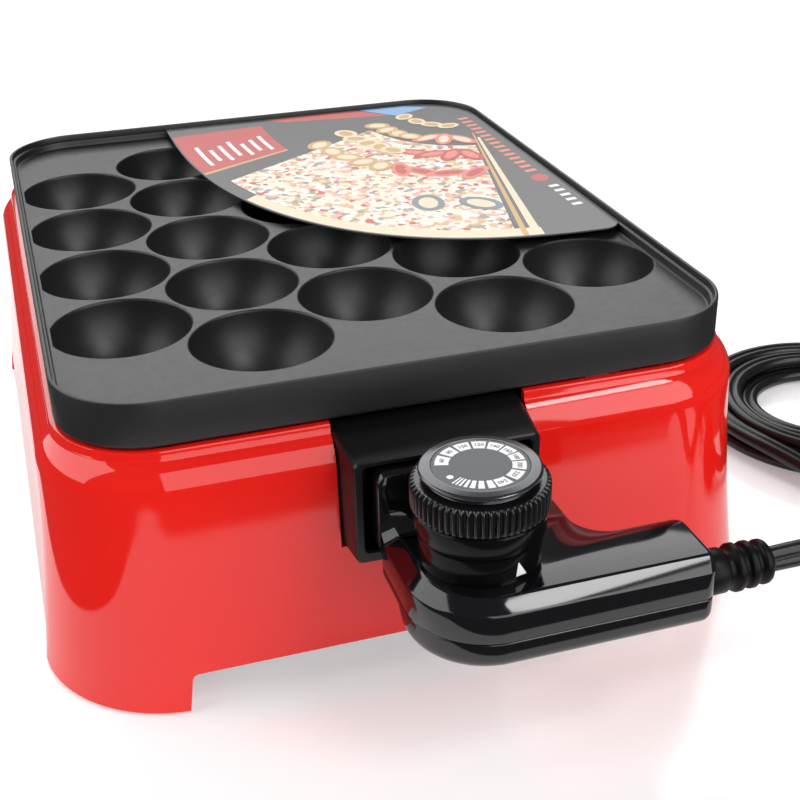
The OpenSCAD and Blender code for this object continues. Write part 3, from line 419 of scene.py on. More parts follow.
tray_metal = finish_of("bright_tray", (0.8, 0.8, 0.82), 0.22, metallic=1.0)
grain(tray_metal, 60.0, 0.1, stretch=(1, 8, 1))
burnt_sheath = finish_of("burnt_sheath", (0.2, 0.17, 0.14), 0.45, metallic=1.0)
mottle(burnt_sheath, (0.12, 0.1, 0.09), (0.3, 0.24, 0.17), 60.0)
pin_plate = finish_of("nickel_plate", (0.7, 0.69, 0.64), 0.18, metallic=1.0)
grain(pin_plate, 500.0, 0.08)
dress(tray_metal, "heat_reflector", "probe_sleeve")
dress(burnt_sheath, "heating_element")
dress(pin_plate, "terminal_pins")

# ---------------- cooking plate
# One die casting in aluminium with a dark grey non-stick coat: flat top, low rim with
# a small ledge, deep skirt, and five staggered columns of half-ball cups.

CUP_R, CUP_WALL = 20.0, 2.0
CUP_STEP_X, CUP_STEP_Y = 36.15, 42.15
TOP_Z, UNDER_Z = 84.0, 81.0
PLATE_X, PLATE_Y, PLATE_CORNER = 94.8, 121.8, 25.0
RIM_Z, LEDGE_Z, SKIRT_Z = 88.7, 86.4, 75.5
CUP_STEPS = 72
MOUTH_R = 0.7
HOLE_R = CUP_R + MOUTH_R + 0.06     # where the flat top begins round a cup
DOME_START = 7.84                   # degrees down a cup's outside to the plate's under face

cup_middles = [((column - 2) * CUP_STEP_X, MID_Y + (row - (count - 1) / 2) * CUP_STEP_Y)
               for column, count in enumerate((4, 5, 4, 5, 4)) for row in range(count)]

coating = finish_of("non_stick_coat", (0.011, 0.0112, 0.0125), 0.4)
grain(coating, 1500.0, 0.25, detail=4.0, distance=0.00012)
mottle(coating, 0.385, 0.425, 420.0, "Roughness")


def lathe_rings(rings, steps, x, y, points, faces):
    """Appends rings of (radius, height) about an upright axis, the last one closed.

    Returns the first ring's numbers."""
    base = len(points)
    for r, z in rings:
        points += [(x + r * math.cos(2 * math.pi * i / steps), y + r * math.sin(2 * math.pi * i / steps), z)
                   for i in range(steps)]
    for k in range(len(rings) - 1):
        for i in range(steps):
            j = (i + 1) % steps
            faces.append((base + k * steps + i, base + k * steps + j,
                          base + (k + 1) * steps + j, base + (k + 1) * steps + i))
    faces.append(tuple(base + (len(rings) - 1) * steps + i for i in range(steps)))
    return [base + i for i in range(steps)]


def flat_between(points, faces, edge, holes, hole_r):
    """Fills a level face between an outer loop and round holes that may overlap."""
    loops = [edge] + holes
    numbers = [v for loop in loops for v in loop]
    level = points[edge[0]][2]
    pairs, start = [], 0
    for loop in loops:
        pairs += [(start + i, start + (i + 1) % len(loop)) for i in range(len(loop))]
        start += len(loop)
    places, _, triangles, origins, _, _ = delaunay_2d_cdt(
        [Vector(points[v][:2]) for v in numbers], pairs, [], 1, 1e-5)
    known = []
    for place, origin in zip(places, origins):
        if origin:
            known.append(numbers[origin[0]])
        else:
            points.append((place.x, place.y, level))
            known.append(len(points) - 1)
    for triangle in triangles:
        middle = sum((places[k] for k in triangle), Vector((0.0, 0.0))) / 3
        if all((middle - Vector(cup)).length > hole_r for cup in cup_middles):
            faces.append(tuple(known[k] for k in triangle))


def plate_casting():
    """Rim, ledge and skirt led round the plate, then the cups with their domes underneath."""
    core_x, core_y = PLATE_X - PLATE_CORNER, PLATE_Y - PLATE_CORNER
    inner, lower_inner = PLATE_CORNER - 1.2, PLATE_CORNER - 2.1
    section = [
        (lower_inner - 1.0, TOP_Z), (lower_inner - 0.9, TOP_Z), (lower_inner - 0.3, TOP_Z + 0.2),
        (lower_inner, TOP_Z + 0.9), (lower_inner, LEDGE_Z - 0.45), (lower_inner + 0.15, LEDGE_Z - 0.12),
        (inner - 0.3, LEDGE_Z), (inner, LEDGE_Z + 0.25), (inner, RIM_Z - 0.5), (inner + 0.15, RIM_Z - 0.12),
        (inner + 0.45, RIM_Z), (PLATE_CORNER - 0.55, RIM_Z), (PLATE_CORNER - 0.15, RIM_Z - 0.15),
        (PLATE_CORNER, RIM_Z - 0.6), (PLATE_CORNER, SKIRT_Z + 1.6)]
    section += arc(PLATE_CORNER - 1.5, SKIRT_Z + 1.5, 1.5, 0, -90, 5)[1:]
    section += [(lower_inner, SKIRT_Z), (lower_inner, UNDER_Z)]
    points, faces = carried_round(section, core_x, core_y, closed=False)
    rows, columns = len(section), 4 * (ARC_STEPS + 1)
    top_edge = [c * rows for c in range(columns)]
    under_edge = [c * rows + rows - 1 for c in range(columns)]
    top_holes, under_holes = [], []
    outer_r = CUP_R + CUP_WALL
    for x, y in cup_middles:
        rim = [(HOLE_R, TOP_Z)]
        rim += [(CUP_R + MOUTH_R - MOUTH_R * math.sin(math.radians(a)),
                 TOP_Z - MOUTH_R + MOUTH_R * math.cos(math.radians(a))) for a in (0, 22, 45, 68, 88)]
        bowl = [(CUP_R * math.cos(math.radians(a)), TOP_Z - CUP_R * math.sin(math.radians(a)))
                for a in (4, 9, 15, 21, 27, 33, 39, 45, 51, 57, 63, 69, 75, 81, 85, 88)]
        top_holes.append(lathe_rings(rim + bowl, CUP_STEPS, x, y, points, faces))
        dome = [(outer_r * math.cos(math.radians(a)), TOP_Z - outer_r * math.sin(math.radians(a)))
                for a in (DOME_START, 15, 25, 35, 45, 55, 65, 75, 83, 88)]
        under_holes.append(lathe_rings(dome, CUP_STEPS, x, y, points, faces))
    flat_between(points, faces, top_edge, top_holes, HOLE_R)
    flat_between(points, faces, under_edge, under_holes, outer_r * math.cos(math.radians(DOME_START)))
    return points, faces


casting = piece("plate_casting", *plate_casting(), "cooker", "nonstick_plate", coating, sharp=40)
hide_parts("cooking_plate")

# ---------------- socket
# A satin black moulded box in a window of the base, open towards the user, that takes
# the controller's nose. A flange behind the base's wall holds it.

satin_black = finish_of("satin_black_moulding", (0.006, 0.006, 0.0065), 0.3, gleam=0.3)
grain(satin_black, 700.0, 0.12)
SOCKET_FACE, SOCKET_BACK, SOCKET_ROOT = -113.5, -96.0, -93.0
SOCKET_Z, MOUTH_Z = 56.2, 57.0      # middle heights of the box and of its mouth
PIN_X, PIN_Z = 12.0, 57.6           # the two pins; the probe is midway between them
CORNER_POINTS = 6


def rounded_ring(half_w, half_h, r, middle=(0.0, 0.0)):
    """Points of a rounded rectangle, counter-clockwise, as (u, v)."""
    ring = []
    for quarter, (su, sv) in enumerate(((1, 1), (-1, 1), (-1, -1), (1, -1))):
        ring += arc(middle[0] + su * (half_w - r), middle[1] + sv * (half_h - r), r,
                    90 * quarter, 90 * quarter + 90, CORNER_POINTS)
    return ring


def loft(rings):
    """A closed form through rings of equal count, given as lists of 3-D points."""
    n = len(rings[0])
    points = [p for ring in rings for p in ring]
    faces = [(k * n + i, k * n + (i + 1) % n, (k + 1) * n + (i + 1) % n, (k + 1) * n + i)
             for k in range(len(rings) - 1) for i in range(n)]
    faces += [tuple(range(n)), tuple(range((len(rings) - 1) * n, len(rings) * n))]
    return points, faces


def along_y(ring, y):
    """Stands a ring of (u, v) across the Y axis."""
    return [(u, y, v) for u, v in ring]


def drill(made, pin_r, probe_r, start, end):
    """Cuts the two openings for the pins and the one for the probe."""
    for x, r in ((-PIN_X, pin_r), (PIN_X, pin_r), (0.0, probe_r)):
        cut(made, *prism([(x + u, PIN_Z + v) for u, v in circle(r)], "y", start, end))


outer_mid, inner_mid = (0.0, SOCKET_Z), (0.0, MOUTH_Z)
socket_rings = [along_y(rounded_ring(half_w, half_h, r, middle), y) for half_w, half_h, r, middle, y in (
    (27.2, 16.5, 2.0, inner_mid, SOCKET_ROOT), (25.45, 15.15, 2.0, outer_mid, SOCKET_FACE + 1.2),
    (25.3, 15.1, 2.0, outer_mid, SOCKET_FACE + 0.5), (24.9, 14.7, 1.7, outer_mid, SOCKET_FACE),
    (23.2, 13.0, 1.5, inner_mid, SOCKET_FACE), (22.8, 12.6, 1.5, inner_mid, SOCKET_FACE + 0.5),
    (22.8, 12.6, 1.5, inner_mid, SOCKET_BACK))]
socket = piece("socket_box", *loft(socket_rings), "cooker", "black_matte", satin_black)
drill(socket, 2.6, 3.35, -99, -90)
smooth(socket, 32)
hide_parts("socket_housing")

# ---------------- controller cases
# Two gloss black mouldings that meet at a fine line along the side: the upper one
# with a bevelled top edge and a hollow sweep up to its nose, the lower one rounded.

gloss_black = finish_of("gloss_black_moulding", (0.004, 0.004, 0.0052), 0.08, gleam=0.62)
grain(gloss_black, 45.0, 0.035, detail=1.5, distance=0.0005)
DIAL_Y = -136.0
CASE_FRONT, ARM_BACK, ARM_END = -158.5, -137.5, 54.0
CASE_R, HOLLOW_R = 20.2, 10.0       # the large front corner, and the corner between arm and neck
NECK_X, NECK_BACK = 27.0, -117.0
TOP, SPLIT, BOTTOM = 54.0, 43.0, 34.7
NECK_UNDER = 41.4                   # the lower case steps up to here under the neck


def case_line(bevel, end, back, z):
    """The controller's outline at one height.

    The front is drawn in by its bevel, the arm's end and the back by their own edges."""
    corner_r = max(0.6, 3.0 - 0.5 * max(bevel, end))
    rear_r = max(0.6, 3.0 - back)
    line = arc(0, CASE_FRONT + CASE_R, CASE_R - bevel, 180, 270, 30)
    line += arc(ARM_END - end - corner_r, CASE_FRONT + bevel + corner_r, corner_r, 270, 360, 7)
    line += arc(ARM_END - end - rear_r, ARM_BACK - back - rear_r, rear_r, 0, 90, 7)
    line += arc(NECK_X + HOLLOW_R, ARM_BACK + HOLLOW_R, HOLLOW_R + back, 270, 180, 12)
    line += arc(NECK_X - back - rear_r, NECK_BACK - back - rear_r, rear_r, 0, 90, 7)
    line += arc(-CASE_R + bevel + rear_r, NECK_BACK - back - rear_r, rear_r, 90, 180, 7)
    return [(x, y, z) for x, y in line]


upper_rings = [case_line(*step) for step in (
    (0.3, 0.3, 0.3, SPLIT + 0.05), (0.08, 0.08, 0.08, SPLIT + 0.15), (0, 0, 0, SPLIT + 0.4),
    (0, 0, 0, 50.75), (0.12, 0, 0, 51.0), (0.4, 0, 0, 51.3), (3.1, 0.0, 0.0, 53.35),
    (3.45, 0.12, 0.12, 53.62), (3.8, 0.4, 0.4, 53.88), (4.4, 0.8, 0.8, TOP))]
upper_case = piece("upper_case", *loft(upper_rings), "controller", "black_gloss", gloss_black, sharp=50)

lower_rings = [case_line(0.3, 0.3, 0.3, SPLIT - 0.05), case_line(0.08, 0.08, 0.08, SPLIT - 0.15),
               case_line(0, 0, 0, SPLIT - 0.4)]
LOWER_EDGE_R = 4.2
for a in range(0, 91, 10):
    draw = LOWER_EDGE_R * (1 - math.cos(math.radians(a)))
    lower_rings.append(case_line(draw, draw * 0.7, min(draw, 2.0),
                                 BOTTOM + LOWER_EDGE_R * (1 - math.sin(math.radians(a)))))
lower_case = piece("lower_case", *loft(lower_rings), "controller", "black_gloss", gloss_black, sharp=50)
under_neck = [(-140.2, 30), (-140.2, BOTTOM), (-132.6, NECK_UNDER), (-100, NECK_UNDER), (-100, 30)]
cut(lower_case, *prism(under_neck, "x", -40, 70))
smooth(lower_case, 50)

RAMP_R = 6.0
NOSE_HALF_W, NOSE_HALF_H, NOSE_END = 20.2, 11.6, -96.5
NOSE_LOW, NOSE_TOP = MOUTH_Z - NOSE_HALF_H, MOUTH_Z + NOSE_HALF_H


def neck_ring(y, top, draw, corner_w, corner_h):
    """A cross-section of the neck: its left top corner is cut slanting, as the bevel runs on up it."""
    half_h = (top - NOSE_LOW) / 2
    soft = 0.6 + 2.2 * (top - TOP) / (NOSE_TOP - TOP)
    ring = rounded_ring(NOSE_HALF_W - draw, half_h, soft, (0, NOSE_LOW + half_h))
    n = CORNER_POINTS + 1
    for i in range(n):
        t = i / CORNER_POINTS
        if corner_w > soft:
            ring[n + i] = (-NOSE_HALF_W + draw + corner_w * (1 - t), top - corner_h * t)
    return along_y(ring, y)


ramp_rings = [neck_ring(NECK_BACK - RAMP_R - 1.6, TOP, 0.2, 3.8, 3.0)]
for a in range(0, 81, 8):
    y = NECK_BACK - RAMP_R - 0.6 + RAMP_R * math.sin(math.radians(a))
    top = TOP + RAMP_R * (1 - math.cos(math.radians(a)))
    ramp_rings.append(neck_ring(y, top, 0.2, 3.8 - 0.3 * (top - TOP), 3.0 + 0.25 * (top - TOP)))
ramp_rings.append(neck_ring(NECK_BACK - 0.45, 64.4, 0.2, 0.9, 1.4))
ramp_rings.append(neck_ring(NECK_BACK - 0.2, NOSE_TOP - 0.2, 0.2, 0.0, 0.0))
ramp_rings += [along_y(rounded_ring(NOSE_HALF_W, NOSE_HALF_H, 3.0, inner_mid), y)
               for y in (NECK_BACK + 0.02, NOSE_END - 0.6)]
ramp_rings.append(along_y(rounded_ring(NOSE_HALF_W - 0.6, NOSE_HALF_H - 0.6, 2.4, inner_mid), NOSE_END))
nose = piece("case_nose", *loft(ramp_rings), "controller", "black_gloss", gloss_black, sharp=50)
drill(nose, 4.0, 3.05, -116.5, -95)
smooth(nose, 50)
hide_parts("controller_upper_case")
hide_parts("controller_lower_case")

# ---------------- thermostat works
# The probe that feels the plate's heat, spring receptacles for the pins, and the
# contact blades and their frame, all held between the two cases.

probe_steel = finish_of("probe_steel", (0.62, 0.62, 0.61), 0.24, metallic=1.0)
grain(probe_steel, 200.0, 0.1, stretch=(1, 0.1, 1))
contact_brass = finish_of("contact_brass", (0.62, 0.42, 0.16), 0.3, metallic=1.0)
grain(contact_brass, 400.0, 0.12)
clamp_plastic = finish_of("clamp_plastic", (0.7, 0.66, 0.55), 0.5)
grain(clamp_plastic, 300.0, 0.1)
dress(probe_steel, "probe_tube", "dial_spindle", "thermostat_frame")
dress(contact_brass, "terminal_clips", "thermostat_blades")
dress(clamp_plastic, "cord_clamp")

# ---------------- dial
# A fixed two-step collar with a painted pointer, and above it a ribbed knob with a
# dark shiny trim ring and a printed disc of numbers sunk inside the ring.

LATHE_STEPS = 120
collar_black = finish_of("collar_black", (0.003, 0.003, 0.003), 0.16, gleam=0.12)
grain(collar_black, 300.0, 0.06)
knob_black = finish_of("knob_black", (0.006, 0.006, 0.007), 0.24, gleam=0.6)
grain(knob_black, 800.0, 0.12)
dark_trim = finish_of("dark_trim", (0.10, 0.102, 0.11), 0.2, metallic=0.9)
grain(dark_trim, 220.0, 0.05)
dial_paint = finish_of("dial_grey_print", (0.045, 0.051, 0.06), 0.4)
grain(dial_paint, 900.0, 0.1)
white_paint = finish_of("white_print", (0.8, 0.8, 0.8), 0.45)
grain(white_paint, 900.0, 0.08)


def turned(name, rings, body, slot_name, material):
    """A closed lathe form about the dial's axis, from rings of (radius, height)."""
    points, faces = [], []
    faces.append(tuple(lathe_rings(rings, LATHE_STEPS, 0.0, DIAL_Y, points, faces)))
    return piece(name, points, faces, body, slot_name, material, 35.0)


CONE_R, CONE_TOP_R = 15.05, 15.5    # the collar's lower step leans out a little
CONE_Z, CONE_TOP_Z = 54.3, 61.3
collar = turned("dial_collar_ring", [
    (4.0, TOP), (14.9, TOP), (CONE_R, CONE_Z), (CONE_TOP_R, CONE_TOP_Z), (15.45, 61.7), (15.2, 61.9),
    (15.15, 62.3), (15.4, 62.5), (16.0, 62.7), (16.2, 63.0), (16.65, 67.6), (16.6, 68.1), (16.2, 68.5),
    (4.0, 68.5)], "controller", "black_matte", collar_black)
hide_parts("dial_collar")

pointer_outline = [(-1.3, 55.9), (2.0, 55.5), (-0.9, 60.0)]
POINTER_ANGLE, POINTER_R = math.radians(-71), 15.3


def on_collar(u, z, lift):
    """A point just off the collar's lower step, from a distance along it and a height."""
    a = POINTER_ANGLE + u / POINTER_R
    r = CONE_R + (z - CONE_Z) * (CONE_TOP_R - CONE_R) / (CONE_TOP_Z - CONE_Z) + lift
    return (r * math.cos(a), DIAL_Y + r * math.sin(a), z)


pointer_rows = 8
pointer_points = []
for lift in (-0.05, 0.12):
    for i in range(pointer_rows + 1):
        t = i / pointer_rows
        left = [a + (b - a) * t for a, b in zip(pointer_outline[0], pointer_outline[2])]
        right = [a + (b - a) * t for a, b in zip(pointer_outline[1], pointer_outline[2])]
        pointer_points += [on_collar(*left, lift), on_collar(*right, lift)]
half = 2 * (pointer_rows + 1)
pointer_faces = []
for i in range(pointer_rows):
    a = 2 * i
    pointer_faces += [(a, a + 2, a + 3, a + 1), (half + a, half + a + 1, half + a + 3, half + a + 2)]
    pointer_faces += [(a, half + a, half + a + 2, a + 2), (a + 1, a + 3, half + a + 3, half + a + 1)]
pointer_faces.append((0, 1, half + 1, half))
pointer = piece("pointer_mark", pointer_points, pointer_faces, "controller", "white_print", white_paint)
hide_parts("dial_pointer")

RIBS = 60
RIB_STEPS = 10
RIB_WAVE = (0.0, 0.06, 0.3, 0.8, 1.0, 1.0, 1.0, 0.8, 0.3, 0.06)


def knob_ring(r, depth, z):
    """A ring of the knob, drawn in by a depth between its ribs."""
    n = RIBS * RIB_STEPS
    reach = [r - depth * RIB_WAVE[i % RIB_STEPS] for i in range(n)]
    return [(reach[i] * math.cos(2 * math.pi * i / n), DIAL_Y + reach[i] * math.sin(2 * math.pi * i / n), z)
            for i in range(n)]


knob_rings = [knob_ring(*step) for step in (
    (15.6, 0, 68.9), (16.7, 0.4, 69.0), (17.0, 0.8, 69.3), (17.1, 0.95, 69.8), (17.1, 0.95, 74.8),
    (16.95, 0.85, 75.4), (16.6, 0.6, 75.85), (16.1, 0.2, 76.1), (15.5, 0, 76.2),
    (13.4, 0, 76.35), (13.2, 0, 76.6), (13.2, 0, 78.2))]
knob = piece("ribbed_knob", *loft(knob_rings), "dial", "black_matte", knob_black, sharp=40)
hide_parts("dial_knob")

DISC_R, DISC_LOW, DISC_TOP = 11.95, 78.0, 79.2
trim = turned("dial_trim_ring", [
    (DISC_R, 78.6), (DISC_R, 79.1), (12.05, 79.28), (12.25, 79.3), (12.6, 79.2), (14.3, 79.02),
    (14.7, 78.9), (14.95, 78.66), (15.0, 78.4), (14.9, 78.15), (14.6, 78.02), (13.1, DISC_LOW)],
    "dial", "bright_trim", dark_trim)
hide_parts("dial_rim")
disc = turned("dial_face_disc", [
    (0.5, DISC_LOW), (DISC_R - 0.05, DISC_LOW), (DISC_R, DISC_LOW + 0.1), (DISC_R, DISC_TOP - 0.08),
    (DISC_R - 0.1, DISC_TOP), (0.5, DISC_TOP)], "dial", "dial_face", dial_paint)
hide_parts("dial_disc")

NUMBER_IN, NUMBER_OUT, NUMBER_HEIGHT = 7.6, 10.95, 1.7
OFF_R, OFF_DOT_R, OFF_ANGLE = 9.3, 0.85, math.radians(-160)
number_blocks = [(151, 25), (123, 21), (97, 22), (72, 20), (48, 21), (25, 19), (3, 19), (-21, 22),
                 (-48, 23), (-77, 22)]
fading_bars = [(-95.5, 9.5), (-109, 8.5), (-120.5, 7), (-129.5, 4.5), (-136.5, 3.2), (-142, 2.6), (-147, 2.2)]


def dial_print(name, outline):
    """A thin patch of white print on the disc, from points about the dial's axis."""
    on_disc = [(u, DIAL_Y + v) for u, v in outline]
    piece(name, *prism(on_disc, "z", DISC_TOP - 0.02, DISC_TOP + 0.04), "dial", "white_print", white_paint)


for number, (angle, width) in enumerate(number_blocks + fading_bars, 1):
    start, end = angle - width / 2, angle + width / 2
    dial_print(f"dial_block_{number}",
               arc(0, 0, NUMBER_OUT, start, end, 10) + arc(0, 0, NUMBER_IN, end, start, 10))
dial_print("dial_off_dot", [(OFF_R * math.cos(OFF_ANGLE) + u, OFF_R * math.sin(OFF_ANGLE) + v)
                            for u, v in circle(OFF_DOT_R)])


def printed_word(name, word, height, place, turn, body, material):
    """Plain raised figures, turned into a mesh that lies flat at a point in millimetres."""
    curve = bpy.data.curves.new(name + "_curve", "FONT")
    curve.body, curve.size, curve.extrude = word, height * MM, 0.03 * MM
    curve.align_x = curve.align_y = "CENTER"
    curve.resolution_u = 3
    holder = placed(name + "_curve", curve)
    bpy.context.view_layer.update()
    mesh = bpy.data.meshes.new_from_object(holder.evaluated_get(bpy.context.evaluated_depsgraph_get()))
    bpy.data.objects.remove(holder)
    mesh.transform(Matrix.Translation([c * MM for c in place]) @ Matrix.Rotation(math.radians(turn), 4, "Z"))
    mesh.materials.clear()
    mesh.materials.append(material)
    made = placed(name, mesh)
    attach(made, body)


for number, (angle, _) in enumerate(number_blocks, 1):
    r = (NUMBER_IN + NUMBER_OUT) / 2
    a = math.radians(angle)
    printed_word(f"dial_number_{number}", str(20 * number + 40), NUMBER_HEIGHT,
                 (r * math.cos(a), DIAL_Y + r * math.sin(a), DISC_TOP + 0.06), angle - 90,
                 "dial", dial_paint)

# ---------------- cord bush
# A soft black rubber bush moulded onto the lead and held in the case: a plain collar and
# three ribs that let it bend, with a short taper after the third.

lead_black = finish_of("lead_sheath", (0.006, 0.006, 0.0065), 0.3, gleam=0.4)
grain(lead_black, 260.0, 0.1)
bush_black = finish_of("bush_rubber", (0.004, 0.004, 0.0045), 0.4, gleam=0.15)
grain(bush_black, 500.0, 0.14)
BUSH_Y, BUSH_STEPS = -148.0, 48
bush_line = [(0.4, 53.9), (5.4, 53.9), (5.5, 54.3), (5.9, 54.7), (5.95, 58), (5.9, 60.4), (5.6, 60.8),
             (5.0, 61.1), (4.9, 61.4), (4.9, 62.4), (5.1, 62.8), (6.1, 63.1), (6.35, 63.6), (6.35, 64.7),
             (6.1, 65.1), (5.0, 65.4), (4.85, 65.7), (4.85, 66.5), (5.05, 66.8), (6.0, 67.1), (6.2, 67.6),
             (6.2, 68.6), (5.95, 69.0), (4.85, 69.3), (4.7, 69.6), (4.7, 70.4), (4.9, 70.7), (5.7, 71.0),
             (5.9, 71.5), (5.85, 72.5), (5.5, 73.1), (4.7, 73.7), (4.1, 73.9), (0.4, 73.9)]
bush_turns = [2 * math.pi * i / BUSH_STEPS for i in range(BUSH_STEPS)]
bush_rings = [[(x, BUSH_Y + r * math.cos(a), SPLIT + r * math.sin(a)) for a in bush_turns]
              for r, x in bush_line]
bush = piece("cord_bush", *loft(bush_rings), "controller", "cord_rubber", bush_black, sharp=50)
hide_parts("strain_relief")

# ---------------- mains lead
# A flat twin lead in a black sheath. It drops from the bush to the table,
# runs back beside the base and is wound up there in a loose coil with a short tail.

CORD_W, CORD_T, CORD_GROOVE = 7.2, 4.4, 0.55
LEAD_POINTS = [
    (0.074, -0.148, 0.043), (0.088, -0.148, 0.043), (0.097, -0.148, 0.042), (0.107, -0.1483, 0.0385),
    (0.118, -0.149, 0.0315), (0.129, -0.150, 0.023), (0.140, -0.152, 0.0145), (0.152, -0.1535, 0.0075),
    (0.165, -0.154, 0.0034), (0.180, -0.152, 0.0024), (0.195, -0.1455, 0.0024), (0.208, -0.134, 0.0024),
    (0.2185, -0.119, 0.0024), (0.226, -0.101, 0.0024), (0.230, -0.082, 0.0024), (0.231, -0.062, 0.0024),
    (0.231, -0.042, 0.0027), (0.231, -0.022, 0.003)]
TAIL_POINTS = [
    (0.14106, -0.04329, 0.008), (0.1445, -0.052, 0.0074), (0.1485, -0.062, 0.0064),
    (0.152, -0.0715, 0.006), (0.155, -0.080, 0.0068), (0.158, -0.0885, 0.008)]
COIL_X, COIL_Y = 0.182, -0.022
COIL_OUT, COIL_TURN = 0.049, 0.0082
COIL_TURNED, COIL_EASE, COIL_END = 900.0, 60.0, 1640.0      # degrees round the coil
COIL_LOW, COIL_HIGH = 0.003, 0.008
LEAD_STEPS = 4
TWIST_END = 8 * LEAD_STEPS      # the lead turns from upright to flat over its first points


def coil_point(angle):
    """A point of the coil, which winds inwards, then outwards again one layer up."""
    r = COIL_OUT - COIL_TURNED / 360 * COIL_TURN
    r += math.sqrt((angle - COIL_TURNED) ** 2 + COIL_EASE ** 2) / 360 * COIL_TURN
    t = min(1.0, max(0.0, (angle - COIL_TURNED + 90) / 180))
    z = COIL_LOW + (COIL_HIGH - COIL_LOW) * t * t * (3 - 2 * t)
    a = math.radians(angle)
    return Vector((COIL_X + r * math.cos(a), COIL_Y + r * math.sin(a), z))


def eased(points):
    """A smooth curve through points, with several steps between each pair."""
    out = []
    for i in range(len(points) - 1):
        p0 = points[max(i - 1, 0)]
        p1, p2 = points[i], points[i + 1]
        p3 = points[min(i + 2, len(points) - 1)]
        for k in range(LEAD_STEPS):
            t = k / LEAD_STEPS
            out.append(0.5 * (2 * p1 + (p2 - p0) * t + (2 * p0 - 5 * p1 + 4 * p2 - p3) * t * t
                              + (3 * p1 - p0 - 3 * p2 + p3) * t ** 3))
    out.append(points[-1].copy())
    return out


lead_route = eased([Vector(p) for p in LEAD_POINTS])
coil_route = [coil_point(a) for a in range(5, int(COIL_END), 5)]
tail_route = eased([coil_point(COIL_END)] + [Vector(p) for p in TAIL_POINTS])
cord_route = lead_route + coil_route + tail_route

twin_section = []
for i in range(40):
    a = 2 * math.pi * i / 40
    u = CORD_W / 2 * math.cos(a)
    lobe = (CORD_W - CORD_T) / 2
    if abs(u) > lobe:
        v = math.sqrt(max(0.0, (CORD_T / 2) ** 2 - (abs(u) - lobe) ** 2))
    else:
        v = CORD_T / 2 - CORD_GROOVE * math.exp(-(u / CORD_GROOVE) ** 2)
    twin_section.append((u * MM, math.copysign(v, math.sin(a) if abs(math.sin(a)) > 1e-9 else 1) * MM))


def cord_mesh(route):
    """The twin section carried along a route in metres."""
    rings = []
    for i, p in enumerate(route):
        ahead = (route[min(i + 1, len(route) - 1)] - route[max(i - 1, 0)]).normalized()
        side = Vector((0, 0, 1)).cross(ahead).normalized()
        up = ahead.cross(side)
        twist = math.radians(90 * max(0.0, 1 - i / TWIST_END))
        wide = side * math.cos(twist) + up * math.sin(twist)
        thin = ahead.cross(wide)
        rings.append([tuple((p + wide * u + thin * v) / MM) for u, v in twin_section])
    return loft(rings)


lead = piece("mains_lead", *cord_mesh(cord_route), "controller", "cord_rubber", lead_black, sharp=60)
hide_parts("cord_lead", "cord_coil", "cord_tail")

tie_vinyl = finish_of("tie_vinyl", (0.02, 0.02, 0.021), 0.5)
grain(tie_vinyl, 500.0, 0.15)
dress(tie_vinyl, "cord_tie")

# ---------------- mains plug
# A two-blade plug at the end of the lead's tail, with finger grooves at its back. Its
# soft black body is moulded round the blades and the lead's end in one shot.

PLUG_END = Vector(TAIL_POINTS[-1]) / MM
PLUG_TURN = math.atan2(-0.94, 0.33)


def at_plug(x, ring):
    """A ring across the plug, at a distance from the end of the lead."""
    c, s = math.cos(PLUG_TURN), math.sin(PLUG_TURN)
    return [(PLUG_END.x + c * x - s * u, PLUG_END.y + s * x + c * u, PLUG_END.z + v) for u, v in ring]


plug_stations = [(0.0, 4.2, 3.0, 2.4), (0.4, 4.6, 3.4, 2.6), (1.8, 4.7, 3.5, 2.8), (2.1, 5.5, 4.5, 3.2),
                 (3.3, 5.5, 4.5, 3.2), (3.6, 4.8, 3.7, 2.9), (4.8, 4.9, 3.8, 2.9), (5.1, 5.6, 4.6, 3.2),
                 (6.3, 5.6, 4.6, 3.2), (6.6, 5.0, 3.9, 3.0), (7.8, 5.1, 4.0, 3.0), (8.2, 5.9, 4.7, 3.3),
                 (9.4, 8.0, 5.8, 4.0), (11.5, 10.4, 7.0, 4.6), (14.5, 11.8, 7.5, 4.8), (19, 12.0, 7.6, 4.8),
                 (24, 11.8, 7.4, 4.7), (28.6, 11.4, 7.2, 4.5), (29.5, 11.2, 7.0, 4.3),
                 (29.95, 10.6, 6.5, 3.9)]
plug_rings = [at_plug(x, rounded_ring(half_w, half_h, r)) for x, half_w, half_h, r in plug_stations]
plug = piece("plug_moulding", *loft(plug_rings), "controller", "cord_rubber", bush_black, sharp=40)
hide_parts("plug_body")
dress(pin_plate, "plug_blades")

# ---------------- card
# A stiff printed card, laid loose on the rim's ledge over the back right cups, with a
# long curved free edge. Its print is a plain pattern of bands, flakes and rounds.

CARD_X, CARD_BACK, CARD_CORNER = 93.2, 145.2, 23.8
CARD_W, CARD_L, CARD_BOW, CARD_FRONT_R = 125.0, 166.0, 2.6, 7.0
CARD_LOW, CARD_TOP = 86.45, 86.95
SHEEN = 0.34


def ink_of(name, *colour):
    """A printing ink with the card's own sheen."""
    made = finish_of(name, colour, SHEEN)
    grain(made, 160.0, 0.06, distance=0.0003)
    return made


card_ground = ink_of("card_charcoal", 0.075, 0.073, 0.076)
card_red = ink_of("card_red", 0.5, 0.05, 0.04)
card_coral = ink_of("card_coral", 0.72, 0.2, 0.14)
card_cream = ink_of("card_cream", 0.8, 0.66, 0.47)
card_gold = ink_of("card_gold", 0.6, 0.36, 0.12)
card_blue = ink_of("card_blue", 0.18, 0.38, 0.68)
card_white = ink_of("card_white", 0.82, 0.81, 0.79)
card_slate = ink_of("card_slate", 0.17, 0.21, 0.24)
card_flakes = ink_of("card_flakes", 0.6, 0.5, 0.4)

